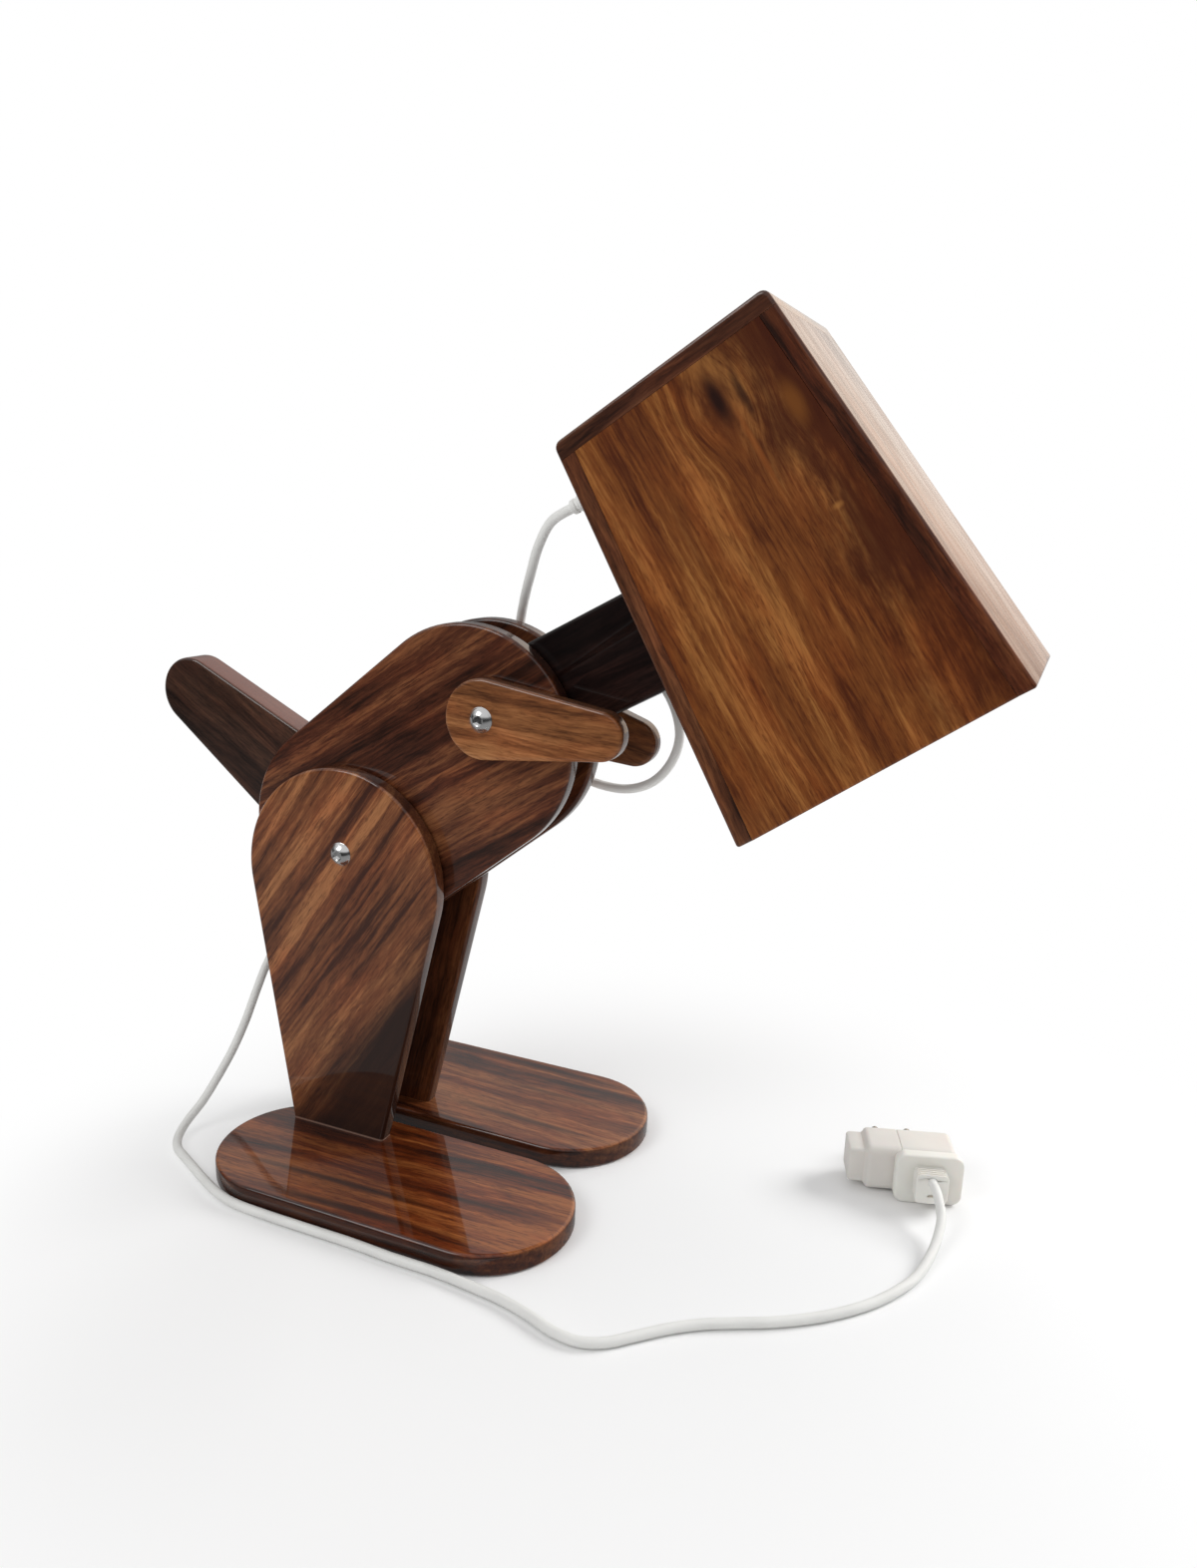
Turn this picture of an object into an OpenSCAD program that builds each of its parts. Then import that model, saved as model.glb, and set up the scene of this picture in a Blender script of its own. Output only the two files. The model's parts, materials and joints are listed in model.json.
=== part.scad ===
// Wooden dinosaur desk lamp: two flat feet and teardrop legs carry a body of two stadium
// plates on the hip bolt. The tail turns on the same bolt. The neck and two short arms
// turn on the shoulder bolt, and the neck carries a tapered box shade as the head.
// +X is forward, +Z is up, and the right side is -Y. Every swing joint turns about Y.

/* [Feet and legs] */
// Length of a foot
foot_l = 219; // [190:1:250]
// Width of a foot
foot_w = 96; // [85:1:105]
// Thickness of a foot
foot_t = 12.5; // [10:0.5:16]
// Gap between the two feet
foot_gap = 13; // [8:0.5:30]
// How far the middle of a foot lies ahead of the hip bolt
foot_ahead = 47; // [35:1:60]
// Height of the hip bolt above the table
hip_z = 186; // [175:1:200]
// Radius of the leg's round top
leg_top_r = 63; // [55:0.5:68]
// How far the middle of the round top lies below the hip bolt
leg_top_drop = 14; // [8:0.5:20]
// Radius that the leg tapers to at table height
leg_ankle_r = 28.5; // [24:0.5:34]
// How far the ankle lies behind the round top
leg_ankle_back = 6.5; // [0:0.5:12]
// Thickness of a leg
leg_t = 10; // [8:0.5:12]

/* [Body] */
// Distance from centre to centre of a body plate's two round ends
body_l = 97; // [85:1:110]
// Radius of a body plate's round ends
body_r = 63; // [58:0.5:68]
// Thickness of a body plate
body_t = 10; // [8:0.5:12]
// Slope of the body, in degrees above the table
body_slope = 38.5; // [34:0.5:43]
// How far the lower round end lies ahead of the hip bolt, along the slope
body_ahead = 4; // [0:0.5:8]
// How far the body's centre line lies above the hip bolt, square to the slope
body_rise = 10; // [6:0.5:14]
// Distance of the shoulder bolt from the hip bolt, along the slope
shoulder_ahead = 123; // [118:0.5:128]
// Distance of the shoulder bolt above the hip bolt, square to the slope
shoulder_rise = 12; // [6:0.5:16]

/* [Neck, tail and arms] */
// Thickness of the neck and the tail, which run between the body plates
core_t = 18; // [14:0.5:22]
// Width of the neck
neck_w = 53; // [46:1:58]
// Length of the neck, from the shoulder bolt to the head
neck_l = 108.5; // [104:0.5:118]
// Slope of the neck, in degrees above the table
neck_slope = 29; // [24:0.5:34]
// Length of the tail, from the hip bolt to the middle of its round tip
tail_l = 144.5; // [130:0.5:160]
// Radius of the tail round the hip bolt
tail_root_r = 37; // [32:0.5:42]
// Radius of the tail's tip
tail_tip_r = 20.5; // [16:0.5:24]
// Slope of the tail, in degrees above the table
tail_slope = 32.5; // [26:0.5:40]
// Length of an arm, from the shoulder bolt to the middle of its round tip
arm_l = 66; // [58:0.5:70]
// Radius of an arm round the shoulder bolt
arm_root_r = 21.5; // [18:0.5:24]
// Radius of an arm's tip
arm_tip_r = 13; // [10:0.5:15]
// Thickness of an arm
arm_t = 10; // [8:0.5:12]
// How far the right arm hangs below level, in degrees
right_arm_dip = 1.5; // [0:0.5:10]
// How far the left arm hangs below level, in degrees
left_arm_dip = 12.5; // [8:0.5:16]

/* [Head] */
// Width of the head, from side to side
head_w = 108; // [100:1:120]
// Height of the head along its own axis
head_h = 201; // [192:1:210]
// Depth of the head at its closed top
head_top = 114; // [106:1:124]
// Depth of the head at its open bottom
head_mouth = 148; // [136:1:160]
// How much shorter the head's front board is than its back board
mouth_rise = 4.5; // [0:0.5:8]
// Thickness of the head's boards
board_t = 8.5; // [7:0.5:10]
// Distance from the head's top edge down to the middle of the neck
neck_drop = 95; // [85:1:105]
// Radius of the rounding along the top board's long edges
top_round = 4; // [2:0.5:6]

/* [Bolts and screws] */
// Radius of the hip and shoulder bolts
bolt_r = 3; // [2.5:0.5:4]
// Clearance of a bolt in its holes
bolt_clear = 0.08; // [0.04:0.01:0.1]
// Radius of a bolt's domed head
bolt_head_r = 5.7; // [5:0.1:7]
// Height of a bolt's domed head
bolt_head_h = 3.4; // [2.5:0.1:4.5]
// Width of a cap nut across its flats
nut_flats = 10; // [9:0.5:12]
// Radius of a friction washer
washer_r = 12; // [9:0.5:14]
// Thickness of a friction washer
washer_t = 0.8; // [0.6:0.1:1.2]
// Radius of a wood screw
screw_r = 2; // [1.5:0.25:2.25]
// Length of a wood screw
screw_l = 38; // [30:1:45]
// Rounding along the edges of the wooden plates
edge = 2; // [1:0.25:2.5]

/* [Lamp] */
// Radius of the lampholder's flange
flange_r = 27; // [25:0.5:30]
// Thickness of the lampholder's flange
flange_t = 5; // [4:0.5:7]
// Outer radius of the lampholder's shell
holder_r = 20; // [18:0.5:21]
// Length of the lampholder's shell
holder_l = 46; // [42:1:50]
// Radius of the bulb's metal cap
cap_r = 13; // [12.5:0.1:13.2]
// Length of the bulb's metal cap
cap_l = 26; // [24:1:27]
// Radius of the bulb
bulb_r = 30; // [27:0.5:32]
// Length of the bulb's glass below its cap
bulb_l = 84; // [78:1:90]

/* [Cord and plug] */
// Diameter of the mains lead
cord_d = 5.2; // [5:0.1:5.4]
// Length of the tapered strain relief outside the head
relief_l = 24; // [20:1:30]
// Distance from the head's top edge down to the cord's hole
cord_drop = 18; // [16:0.5:22]
// Length of the plug's body, across the way the lead leaves it
plug_l = 60; // [52:1:66]
// Depth of the plug's body, from its flange to its pins
plug_w = 27; // [24:1:30]
// Height of the plug's body
plug_h = 27; // [24:1:28]
// Width of the plug's flange
plug_flange_w = 38; // [34:1:44]
// Height of the plug's flange
plug_flange_h = 30; // [28:1:32]
// Thickness of the plug's flange
plug_flange_t = 7; // [6:0.5:9]
// Width of the ribbed clamp block that holds the lead
clamp_w = 18; // [17:0.5:20]
// Length of the ribbed clamp block
clamp_l = 9; // [7:0.5:11]
// Diameter of a plug pin
pin_d = 4.8; // [4:0.1:5]
// Length of a plug pin
pin_l = 19; // [17:1:20]
// Distance between the plug's two pins
pin_gap = 19; // [17:0.5:21]

/* [Hidden] */
$fn = 64;

// Layers from the middle outwards, as distances from the lamp's middle plane
plate_in = core_t / 2 + washer_t;
plate_out = plate_in + body_t;
side_in = plate_out + washer_t;
leg_out = side_in + leg_t;
arm_out = side_in + arm_t;
foot_mid = foot_gap / 2 + foot_w / 2;
tuck = 0.03;              // how far a run of rounded edge lies inside its tangent line
slack = 0.3;              // room between a thing and the hollow it lies in
screw_clear = 0.1;        // room round a wood screw in its hole
cut = 1;                  // how far a cutter runs past the face it cuts
foot_screw_gap = 32;      // between the two screws that hold a leg on its foot
neck_screw_gap = 26;      // between the two screws that hold the head on the neck
holder_roof = 12;         // from the lampholder's top down to the roof of its bore
holder_rim = 5;           // height of the rim round the lampholder's mouth
holder_screw_r = 1.5;     // the screws that hold the lampholder's flange
holder_screw_l = 11;
contact_r = 5;
contact_t = 1.5;

// The shoulder bolt, from the hip bolt's place
function turned(p, a) = [p.x * cos(a) - p.y * sin(a), p.x * sin(a) + p.y * cos(a)];
hip = [0, hip_z];
shoulder = hip + turned([shoulder_ahead, shoulder_rise], body_slope);

// The head: its sides lean out by head_taper, and its back board is square to the neck
head_taper = atan((head_mouth - head_top) / 2 / head_h);
head_turn = neck_slope + head_taper;
neck_end = shoulder + turned([neck_l, 0], neck_slope);
neck_seat = [-head_top / 2 - neck_drop * sin(head_taper), -neck_drop * cos(head_taper)];
board_x = board_t / cos(head_taper);   // a slanted board's thickness, measured level
holder_top = -board_t - flange_t;
bore_top = holder_top - holder_roof;
cap_top = bore_top - 2 * contact_t;
cap_end = cap_top - cap_l;
bulb_end = cap_end - bulb_l;

// The frame's origin is the middle of the lamp's box, at the table
front_h = head_h - mouth_rise;
mouth_corner = neck_end + turned([side_x(-front_h), -front_h] - neck_seat, head_turn);
tail_end_x = -tail_l * cos(tail_slope) - tail_tip_r;
origin_x = (mouth_corner.x + tail_end_x) / 2;

// ------------------------------------------------------------ plates with rounded edges

// Half the outline of a rounded edge of radius e on a plate t thick, out from x = r
function edge_line(r, t, e) = concat(
    [for (a = [90 : -30 : 0]) [r - e + e * cos(a), e - e * sin(a)]],
    [for (a = [0 : 30 : 90]) [r - e + e * cos(a), t - e + e * sin(a)]]);

module disc(r, t, e) {
    rotate_extrude() polygon(concat([[0, 0]], edge_line(r, t, e), [[0, t]]));
}

// A straight run of rounded edge, l long along X, whose outer side is at y = r. It lies a
// hair inside that line, so that its ends are inside the discs
module edge_bar(l, r, t, e) {
    rotate([90, 0, 90]) linear_extrude(l)
        polygon(concat([[r - 3 * e, 0]], edge_line(r - tuck, t, e), [[r - 3 * e, t]]));
}

// A plate with two equal round ends, at the points a and b
module stadium(a, b, r, t, e = edge) {
    d = b - a;
    l = norm(d);
    translate([a.x, a.y, 0]) rotate([0, 0, atan2(d.y, d.x)]) {
        disc(r, t, e);
        translate([l, 0, 0]) rotate([0, 0, 180]) disc(r, t, e);
        for (m = [0, 1]) mirror([0, m, 0]) edge_bar(l, r, t, e);
        translate([0, 2 * e - r, 0]) cube([l, 2 * (r - 2 * e), t]);
    }
}

// A plate that tapers from a round end of radius ra at a to one of radius rb at b
module tapered_plate(a, ra, b, rb, t, e = edge) {
    hull() {
        translate([a.x, a.y, 0]) disc(ra, t, e, $fn = 48);
        translate([b.x, b.y, 0]) disc(rb, t, e, $fn = 48);
    }
}

// Stands a flat shape up in the XZ plane, from y_low to y_low + t
module standing(y_low, t) {
    translate([0, y_low + t, 0]) rotate([90, 0, 0]) children();
}

module hole(p, r, t) {
    translate([p.x, p.y, -cut]) cylinder(r = r, h = t + 2 * cut);
}

module placed() {
    translate([-origin_x, 0, 0]) children();
}

// ------------------------------------------------------------ screws, bolts and washers

// A countersunk wood screw whose flat head lies at z = 0 and whose point is up
module wood_screw(r = screw_r, l = screw_l) {
    rotate_extrude()
        polygon([[0, 0], [2 * r, 0], [r, r], [r, l - 1.5 * r], [0, l]]);
}

module wood_screw_hole(r = screw_r, l = screw_l) {
    c = screw_clear;
    translate([0, 0, -cut]) cylinder(r = r + c, h = l + cut + c);
    rotate_extrude()
        polygon([[0, -cut], [2 * r + c + cut, -cut], [2 * r + c, 0], [r, r + c], [0, r + c]]);
}

// A domed bolt along Y at the point p: its head lies on the right side at y = -y_out
module domed_bolt(p, y_out) {
    translate([p.x, -y_out, p.y]) rotate([-90, 0, 0]) {
        difference() {
            intersection() {
                dome_r = (bolt_head_r * bolt_head_r + bolt_head_h * bolt_head_h) / 2 / bolt_head_h;
                translate([0, 0, dome_r - bolt_head_h]) sphere(dome_r);
                translate([0, 0, -bolt_head_h]) cylinder(r = bolt_head_r, h = bolt_head_h);
            }
            translate([0, 0, -bolt_head_h - cut])
                cylinder(r = bolt_head_r * 0.37, h = bolt_head_h * 0.6 + cut, $fn = 6);
        }
        cylinder(r = bolt_r, h = 2 * y_out + nut_flats * 0.55);
    }
}

module cap_nut(p, y_out) {
    hex_h = nut_flats * 0.55;
    dome_r = nut_flats * 0.46;
    translate([p.x, y_out, p.y]) rotate([-90, 0, 0]) difference() {
        union() {
            cylinder(r = nut_flats / 2 / cos(30), h = hex_h, $fn = 6);
            translate([0, 0, hex_h]) sphere(dome_r);
        }
        translate([0, 0, -dome_r]) cylinder(r = bolt_r + bolt_clear, h = dome_r + hex_h + slack);
    }
}

module washer(p, y_low) {
    standing(y_low, washer_t) difference() {
        translate([p.x, p.y, 0]) cylinder(r = washer_r, h = washer_t);
        hole(p, bolt_r + bolt_clear, washer_t);
    }
}

module friction_washers() {
    color("ivory") placed() for (p = [hip, shoulder])
        for (y = [-side_in, -plate_in, core_t / 2, plate_out]) washer(p, y);
}

module hip_bolt() { color("silver") placed() domed_bolt(hip, leg_out); }
module hip_cap_nut() { color("silver") placed() cap_nut(hip, leg_out); }
module shoulder_bolt() { color("silver") placed() domed_bolt(shoulder, arm_out); }
module shoulder_cap_nut() { color("silver") placed() cap_nut(shoulder, arm_out); }

// ------------------------------------------------------------ feet and legs

leg_top_x = -1;
ankle_x = leg_top_x - leg_ankle_back;
foot_screw_y = side_in + leg_t / 2;

// The places of a foot's two screws under its leg; side is -1 for right and 1 for left
function foot_screw_places(side) =
    [for (s = [-1, 1]) [ankle_x + s * foot_screw_gap / 2, side * foot_screw_y]];

module foot(side) {
    reach = foot_l / 2 - foot_w / 2;
    difference() {
        translate([foot_ahead, side * foot_mid, 0])
            stadium([-reach, 0], [reach, 0], foot_w / 2, foot_t);
        for (p = foot_screw_places(side)) translate([p.x, p.y, 0]) wood_screw_hole();
    }
}

module leg(side) {
    top = [leg_top_x, hip_z - leg_top_drop];
    low = side < 0 ? -leg_out : side_in;
    difference() {
        standing(low, leg_t) difference() {
            tapered_plate(top, leg_top_r, [ankle_x, 0], leg_ankle_r, leg_t);
            hole(hip, bolt_r + bolt_clear, leg_t);
        }
        translate([-leg_top_r * 2, low - cut, foot_t - hip_z])
            cube([leg_top_r * 4, leg_t + 2 * cut, hip_z]);
        for (p = foot_screw_places(side)) translate([p.x, p.y, 0]) wood_screw_hole();
    }
}

module foot_screws(side) {
    for (p = foot_screw_places(side)) translate([p.x, p.y, 0]) wood_screw();
}

module right_foot() { color("#5a3726") placed() foot(-1); }
module left_foot() { color("#5a3726") placed() foot(1); }
module right_leg() { color("#6b4128") placed() leg(-1); }
module left_leg() { color("#6b4128") placed() leg(1); }
module right_foot_screws() { color("silver") placed() foot_screws(-1); }
module left_foot_screws() { color("silver") placed() foot_screws(1); }

// ------------------------------------------------------------ body, tail, neck and arms

module body_plate(side) {
    a = hip + turned([body_ahead, body_rise], body_slope);
    b = hip + turned([body_ahead + body_l, body_rise], body_slope);
    standing(side < 0 ? -plate_out : plate_in, body_t) difference() {
        stadium(a, b, body_r, body_t);
        hole(hip, bolt_r + bolt_clear, body_t);
        hole(shoulder, bolt_r + bolt_clear, body_t);
    }
}

// A swinging piece round the bolt at p, with its tip l away at the angle a
module swing_plate(p, a, l, r_root, r_tip, y_low, t) {
    tip = p + turned([l, 0], a);
    standing(y_low, t) difference() {
        tapered_plate(p, r_root, tip, r_tip, t);
        hole(p, bolt_r + bolt_clear, t);
    }
}

module right_body_plate() { color("#5f3822") placed() body_plate(-1); }
module left_body_plate() { color("#5f3822") placed() body_plate(1); }

module tail() {
    color("#3a2622") placed()
        swing_plate(hip, 180 - tail_slope, tail_l, tail_root_r, tail_tip_r, -core_t / 2, core_t);
}

module right_arm() {
    color("#7d5132") placed()
        swing_plate(shoulder, -right_arm_dip, arm_l, arm_root_r, arm_tip_r, -arm_out, arm_t);
}

module left_arm() {
    color("#7d5132") placed()
        swing_plate(shoulder, -left_arm_dip, arm_l, arm_root_r, arm_tip_r, side_in, arm_t);
}

// The neck is cut off square where it meets the head's back board
module neck() {
    color("#241819") placed() difference() {
        standing(-core_t / 2, core_t) difference() {
            stadium(shoulder, neck_end, neck_w / 2, core_t);
            hole(shoulder, bolt_r + bolt_clear, core_t);
        }
        at_head() on_back(neck_drop) translate([-neck_w, -core_t, -neck_w])
            cube([2 * neck_w, 2 * core_t, neck_w]);
        at_head() neck_screw_places() wood_screw_hole();
    }
}

// ------------------------------------------------------------ head

// Moves a thing from the head's own frame to its place. That frame has its origin in the
// middle of the top edge, X from back to front and Z along the head's axis
module at_head() {
    translate([neck_end.x, 0, neck_end.y]) rotate([0, -head_turn, 0])
        translate([-neck_seat.x, 0, -neck_seat.y]) children();
}

// A frame on the back board's outer face, s below the top edge, with Z pointing out
module on_back(s) {
    translate([-head_top / 2 - s * sin(head_taper), 0, -s * cos(head_taper)])
        rotate([0, head_taper - 90, 0]) children();
}

// The screws run out through the back board from inside the head, into the neck
module neck_screw_places() {
    for (s = [-1, 1]) on_back(neck_drop + s * neck_screw_gap / 2)
        translate([0, 0, -board_t]) children();
}

// A board or panel of the head: its outline in XZ, from y_low to y_high
module slab(points, y_low, y_high) {
    translate([0, y_high, 0]) rotate([90, 0, 0]) linear_extrude(y_high - y_low) polygon(points);
}

// The outer face's x at the height z; inset is how far inwards, measured level
function side_x(z, inset = 0) = head_top / 2 - z * tan(head_taper) - inset;

module head_top_board() {
    r = top_round;
    x = side_x(0) - r;
    color("#4d2c20") placed() at_head() difference() {
        slab(concat([for (a = [90 : -15 : 0]) [x + r * sin(90 - a), -r + r * sin(a)]],
                    [[side_x(-board_t), -board_t], [-side_x(-board_t), -board_t]],
                    [for (a = [0 : 15 : 90]) [-x - r * cos(a), -r + r * sin(a)]]),
             -head_w / 2, head_w / 2);
        lampholder_screw_places() wood_screw_hole(holder_screw_r, holder_screw_l + cut);
    }
}

// A slanted board of the head; side is -1 for the back and 1 for the front
module head_board(side) {
    h = side < 0 ? head_h : front_h;
    slab([for (p = [[-board_t, 0], [-h, 0], [-h, board_x], [-board_t, board_x]])
        [side * side_x(p.x, p.y), p.x]], -head_w / 2, head_w / 2);
}

module head_back_board() {
    color("#4d2c20") placed() at_head() difference() {
        head_board(-1);
        neck_screw_places() wood_screw_hole();
        on_back(cord_drop) translate([0, 0, -board_t - cut])
            cylinder(r = relief_r + slack / 3, h = board_t + 2 * cut);
    }
}

module head_front_board() { color("#5a3524") placed() at_head() head_board(1); }

module head_panel(y_low) {
    slab([[side_x(-board_t, board_x), -board_t], [side_x(-front_h, board_x), -front_h],
          [-side_x(-head_h, board_x), -head_h], [-side_x(-board_t, board_x), -board_t]],
         y_low, y_low + board_t);
}

module head_right_panel() { color("#86582c") placed() at_head() head_panel(-head_w / 2); }
module head_left_panel() {
    color("#86582c") placed() at_head() head_panel(head_w / 2 - board_t);
}

module neck_screws() { color("silver") placed() at_head() neck_screw_places() wood_screw(); }

// ------------------------------------------------------------ lampholder and bulb

// The flange's screws, driven up into the top board
module lampholder_screw_places() {
    for (s = [-1, 1])
        translate([0, s * (flange_r - 2.4 * holder_screw_r), holder_top]) children();
}

module lampholder_base() {
    color("#e6e2da") placed() at_head() difference() {
        translate([0, 0, holder_top]) cylinder(r = flange_r, h = flange_t);
        lampholder_screw_places() wood_screw_hole(holder_screw_r, holder_screw_l + cut);
    }
}

module lampholder_screws() {
    color("silver") placed() at_head() lampholder_screw_places() wood_screw(holder_screw_r, holder_screw_l);
}

// The shell has a rim at its mouth. The cord runs in through its side, and a shaft takes the
// wires down from there through the roof of the bore, beside the contact
module lampholder_shell() {
    low = holder_top - holder_l;
    rim_r = holder_r * 1.05;
    bore_r = cap_r + 2 * slack;
    hole_r = cord_d / 2 + slack;
    color("#e6e2da") placed() at_head() difference() {
        rotate_extrude() polygon([[0, holder_top], [holder_r, holder_top],
            [holder_r, low + holder_rim * 1.2], [rim_r, low + holder_rim], [rim_r, low],
            [bore_r, low], [bore_r, bore_top], [0, bore_top]]);
        on_back(cord_drop) translate([0, 0, -head_top / 2]) cylinder(r = hole_r, h = head_top / 2);
        translate([-contact_r - cord_d / 2 - slack, 0, bore_top - cut])
            cylinder(d = cord_d, h = holder_roof / 2 + cut);
    }
}

module lampholder_contact() {
    color("goldenrod") placed() at_head() translate([0, 0, bore_top - contact_t])
        cylinder(r = contact_r, h = contact_t);
}

// The cap's thread is left to its surface; its end contact rests on the lampholder's
module bulb_cap() {
    color("silver") placed() at_head() rotate_extrude()
        polygon([[0, cap_top + contact_t], [contact_r * 0.7, cap_top + contact_t],
                 [contact_r * 0.9, cap_top], [cap_r * 0.85, cap_top - cap_l * 0.08],
                 [cap_r, cap_top - cap_l * 0.16], [cap_r, cap_end], [0, cap_end]]);
}

// Profile: a straight throat that swells to a globe by a cosine, closed by a half ball
module bulb_glass() {
    throat = bulb_l - bulb_r;
    color("white") placed() at_head() translate([0, 0, cap_end]) rotate_extrude() polygon(concat(
        [[0, 0]],
        [for (i = [0 : 8]) let (k = i / 8)
            [cap_r + (bulb_r - cap_r) * (1 - cos(180 * k)) / 2, -throat * k]],
        [for (a = [15 : 15 : 75]) [bulb_r * cos(a), -throat - bulb_r * sin(a)]],
        [[0, -bulb_l]]));
}

// ------------------------------------------------------------ cord and plug

relief_r = 5;             // radius of the bushing's stem in the back board
relief_flange_r = 7.5;
relief_flange_t = 1.6;
relief_nut_t = 3;         // its nut on the board's inner face
relief_wall = 1.2;        // its wall at the thin end of the sleeve
inner_start = -head_top / 2 + holder_r * 0.65;    // the lead's end inside the lampholder

// Bushing: a stem through the board, a flange on each face and a tapered sleeve outside
module cord_bushing() {
    sleeve = relief_flange_t + relief_l;
    inside = -board_t - relief_nut_t;
    nut_r = relief_flange_r * 0.93;
    color("white") placed() at_head() on_back(cord_drop) difference() {
        rotate_extrude() polygon([[0, inside], [nut_r, inside], [nut_r, -board_t],
            [relief_r, -board_t], [relief_r, 0], [relief_flange_r, 0],
            [relief_flange_r, relief_flange_t], [relief_r * 1.1, relief_flange_t],
            [cord_d / 2 + relief_wall, sleeve], [0, sleeve]]);
        translate([0, 0, inside - cut])
            cylinder(r = cord_d / 2 + screw_clear, h = sleeve - inside + 2 * cut);
    }
}

module cord_inner() {
    length = relief_flange_t + relief_l - inner_start;
    color("white") placed() at_head() on_back(cord_drop) translate([0, 0, inner_start])
        cylinder(r = cord_d / 2, h = length);
}

// The lead's route, in millimetres from the hip bolt's foot on the table: out of the
// head, down the left side, once round below the left arm, over the shoulder nut, past
// the hip, down behind the legs, round the right heel and along the table to the plug
relief_end = let (p = [-head_top / 2 - cord_drop * sin(head_taper), -cord_drop * cos(head_taper)])
    neck_end + turned(p - neck_seat, head_turn)
    - turned([relief_l + relief_flange_t, 0], neck_slope);
ground = cord_d / 2;
head_stretch = [[relief_end.x, 0, relief_end.y], [111, 2, 372], [102, 6, 359], [95, 12, 345],
    [88, 19, 331], [82, 26, 317], [77, 32, 303]];
torso_stretch = [[77, 32, 303], [73, 36, 288], [72, 37, 272], [75, 37, 257], [84, 37, 245],
    [98, 37, 237], [114, 37, 232], [130, 37, 228], [146, 37, 228], [160, 37, 234],
    [170, 37, 246], [174, 37, 261], [170, 37, 277], [160, 37, 291], [146, 37, 300],
    [130, 37, 303], [114, 38, 299], [101, 39, 290], [89, 41, 282], [75, 43, 274],
    [61, 43, 264], [47, 41, 253], [34, 38, 241], [22, 37, 228], [11, 37, 213],
    [-1, 37, 202], [-16, 37, 194], [-31, 37, 183]];
leg_stretch = [[-31, 37, 183], [-44, 37, 170], [-55, 37, 156], [-64, 36, 142], [-71, 31, 128],
    [-77, 22, 115], [-80, 11, 103], [-82, 1, 90], [-83, -8, 76], [-85, -16, 60],
    [-88, -25, 44], [-92, -35, 29], [-96, -45, 16], [-99, -56, 7], [-96, -67, 3],
    [-88, -76, ground]];
floor_stretch = [[-88, -76, ground], [-77, -82, ground], [-65, -88, ground],
    [-53, -94, ground], [-37, -101, ground], [-21, -105, ground], [4, -106, ground],
    [30, -106, ground], [56, -106, ground], [81, -107, ground], [107, -107, ground],
    [132, -109, ground], [148, -111, ground], [164, -115, ground], [179, -120, ground],
    [193, -121, ground], [205, -116, ground], [216, -106, ground], [229, -94, ground],
    [243, -84, ground], [258, -76, ground], [273, -68, ground], [288, -58, ground],
    [301, -47, ground], [313, -34, ground], [323, -19, ground], [330, -4, ground],
    [334, 12, 4], [336, 27, 7]];
plug_turn = -72;          // the heading on the table of the side that the lead leaves
plug_face = [328, 60];    // the middle of the clamp block's outer face
plug_shift = -14;         // how far the body's middle lies to the flange's side
lead_rise = 4.5;          // how far the lead leaves the clamp block above its middle
lead_hole = 3;            // how deep the lead's slot is
plug_z = plug_flange_h / 2;
plug_dir = [cos(plug_turn), sin(plug_turn)];
function off_plug(x) = [plug_face.x + x * plug_dir.x, plug_face.y + x * plug_dir.y,
    plug_z + lead_rise];
plug_stretch = [[336, 40, 12], [332.2, 50.5, 18], off_plug(1), off_plug(-lead_hole)];

route = concat(head_stretch, [for (i = [1 : len(torso_stretch) - 1]) torso_stretch[i]],
    [for (i = [1 : len(leg_stretch) - 1]) leg_stretch[i]],
    [for (i = [1 : len(floor_stretch) - 1]) floor_stretch[i]], plug_stretch);
first_torso = len(head_stretch) - 1;
first_leg = first_torso + len(torso_stretch) - 1;
first_floor = first_leg + len(leg_stretch) - 1;
last = len(route) - 1;

// The heading at each point of the route, and a normal carried along without twist
start_dir = [-cos(neck_slope), 0, -sin(neck_slope)];
end_dir = [-plug_dir.x, -plug_dir.y, 0];
function unit(v) = v / norm(v);
function heading(i) = i == 0 ? start_dir : i == last ? end_dir
    : unit(unit(route[i + 1] - route[i]) + unit(route[i] - route[i - 1]));
function carry(n, t) = unit(n - (n * t) * t);
function normals(i, n) = i > last ? []
    : let (m = carry(n, heading(i))) concat([m], normals(i + 1, m));
route_normals = normals(0, [0, 1, 0]);

// A tube along the route from its point i0 to its point i1, as one closed skin
module tube(i0, i1) {
    sides = 8;
    rings = i1 - i0;
    points = [for (i = [i0 : i1]) let (t = heading(i), n = route_normals[i], b = cross(t, n))
        for (k = [0 : sides - 1]) route[i]
            + cord_d / 2 * (cos(360 * k / sides) * n + sin(360 * k / sides) * b)];
    walls = [for (r = [0 : rings - 1]) for (k = [0 : sides - 1])
        let (a = r * sides + k, b = r * sides + (k + 1) % sides)
        each [[a, a + sides, b + sides], [a, b + sides, b]]];
    ends = [for (k = [1 : sides - 2]) each [[0, k, k + 1],
        [rings * sides, rings * sides + k + 1, rings * sides + k]]];
    polyhedron(points, concat(walls, ends));
}

module cord_upper() { color("white") placed() tube(0, first_torso); }
module cord_middle() { color("white") placed() tube(first_torso, first_leg); }
module cord_lower() { color("white") placed() tube(first_leg, first_floor); }
module cord_floor() { color("white") placed() tube(first_floor, last); }

// The plug's own frame: X points out of the clamp block, with the block's face at x = 0
module at_plug() {
    translate([plug_face.x, plug_face.y, plug_z]) rotate([0, 0, plug_turn]) children();
}

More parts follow.
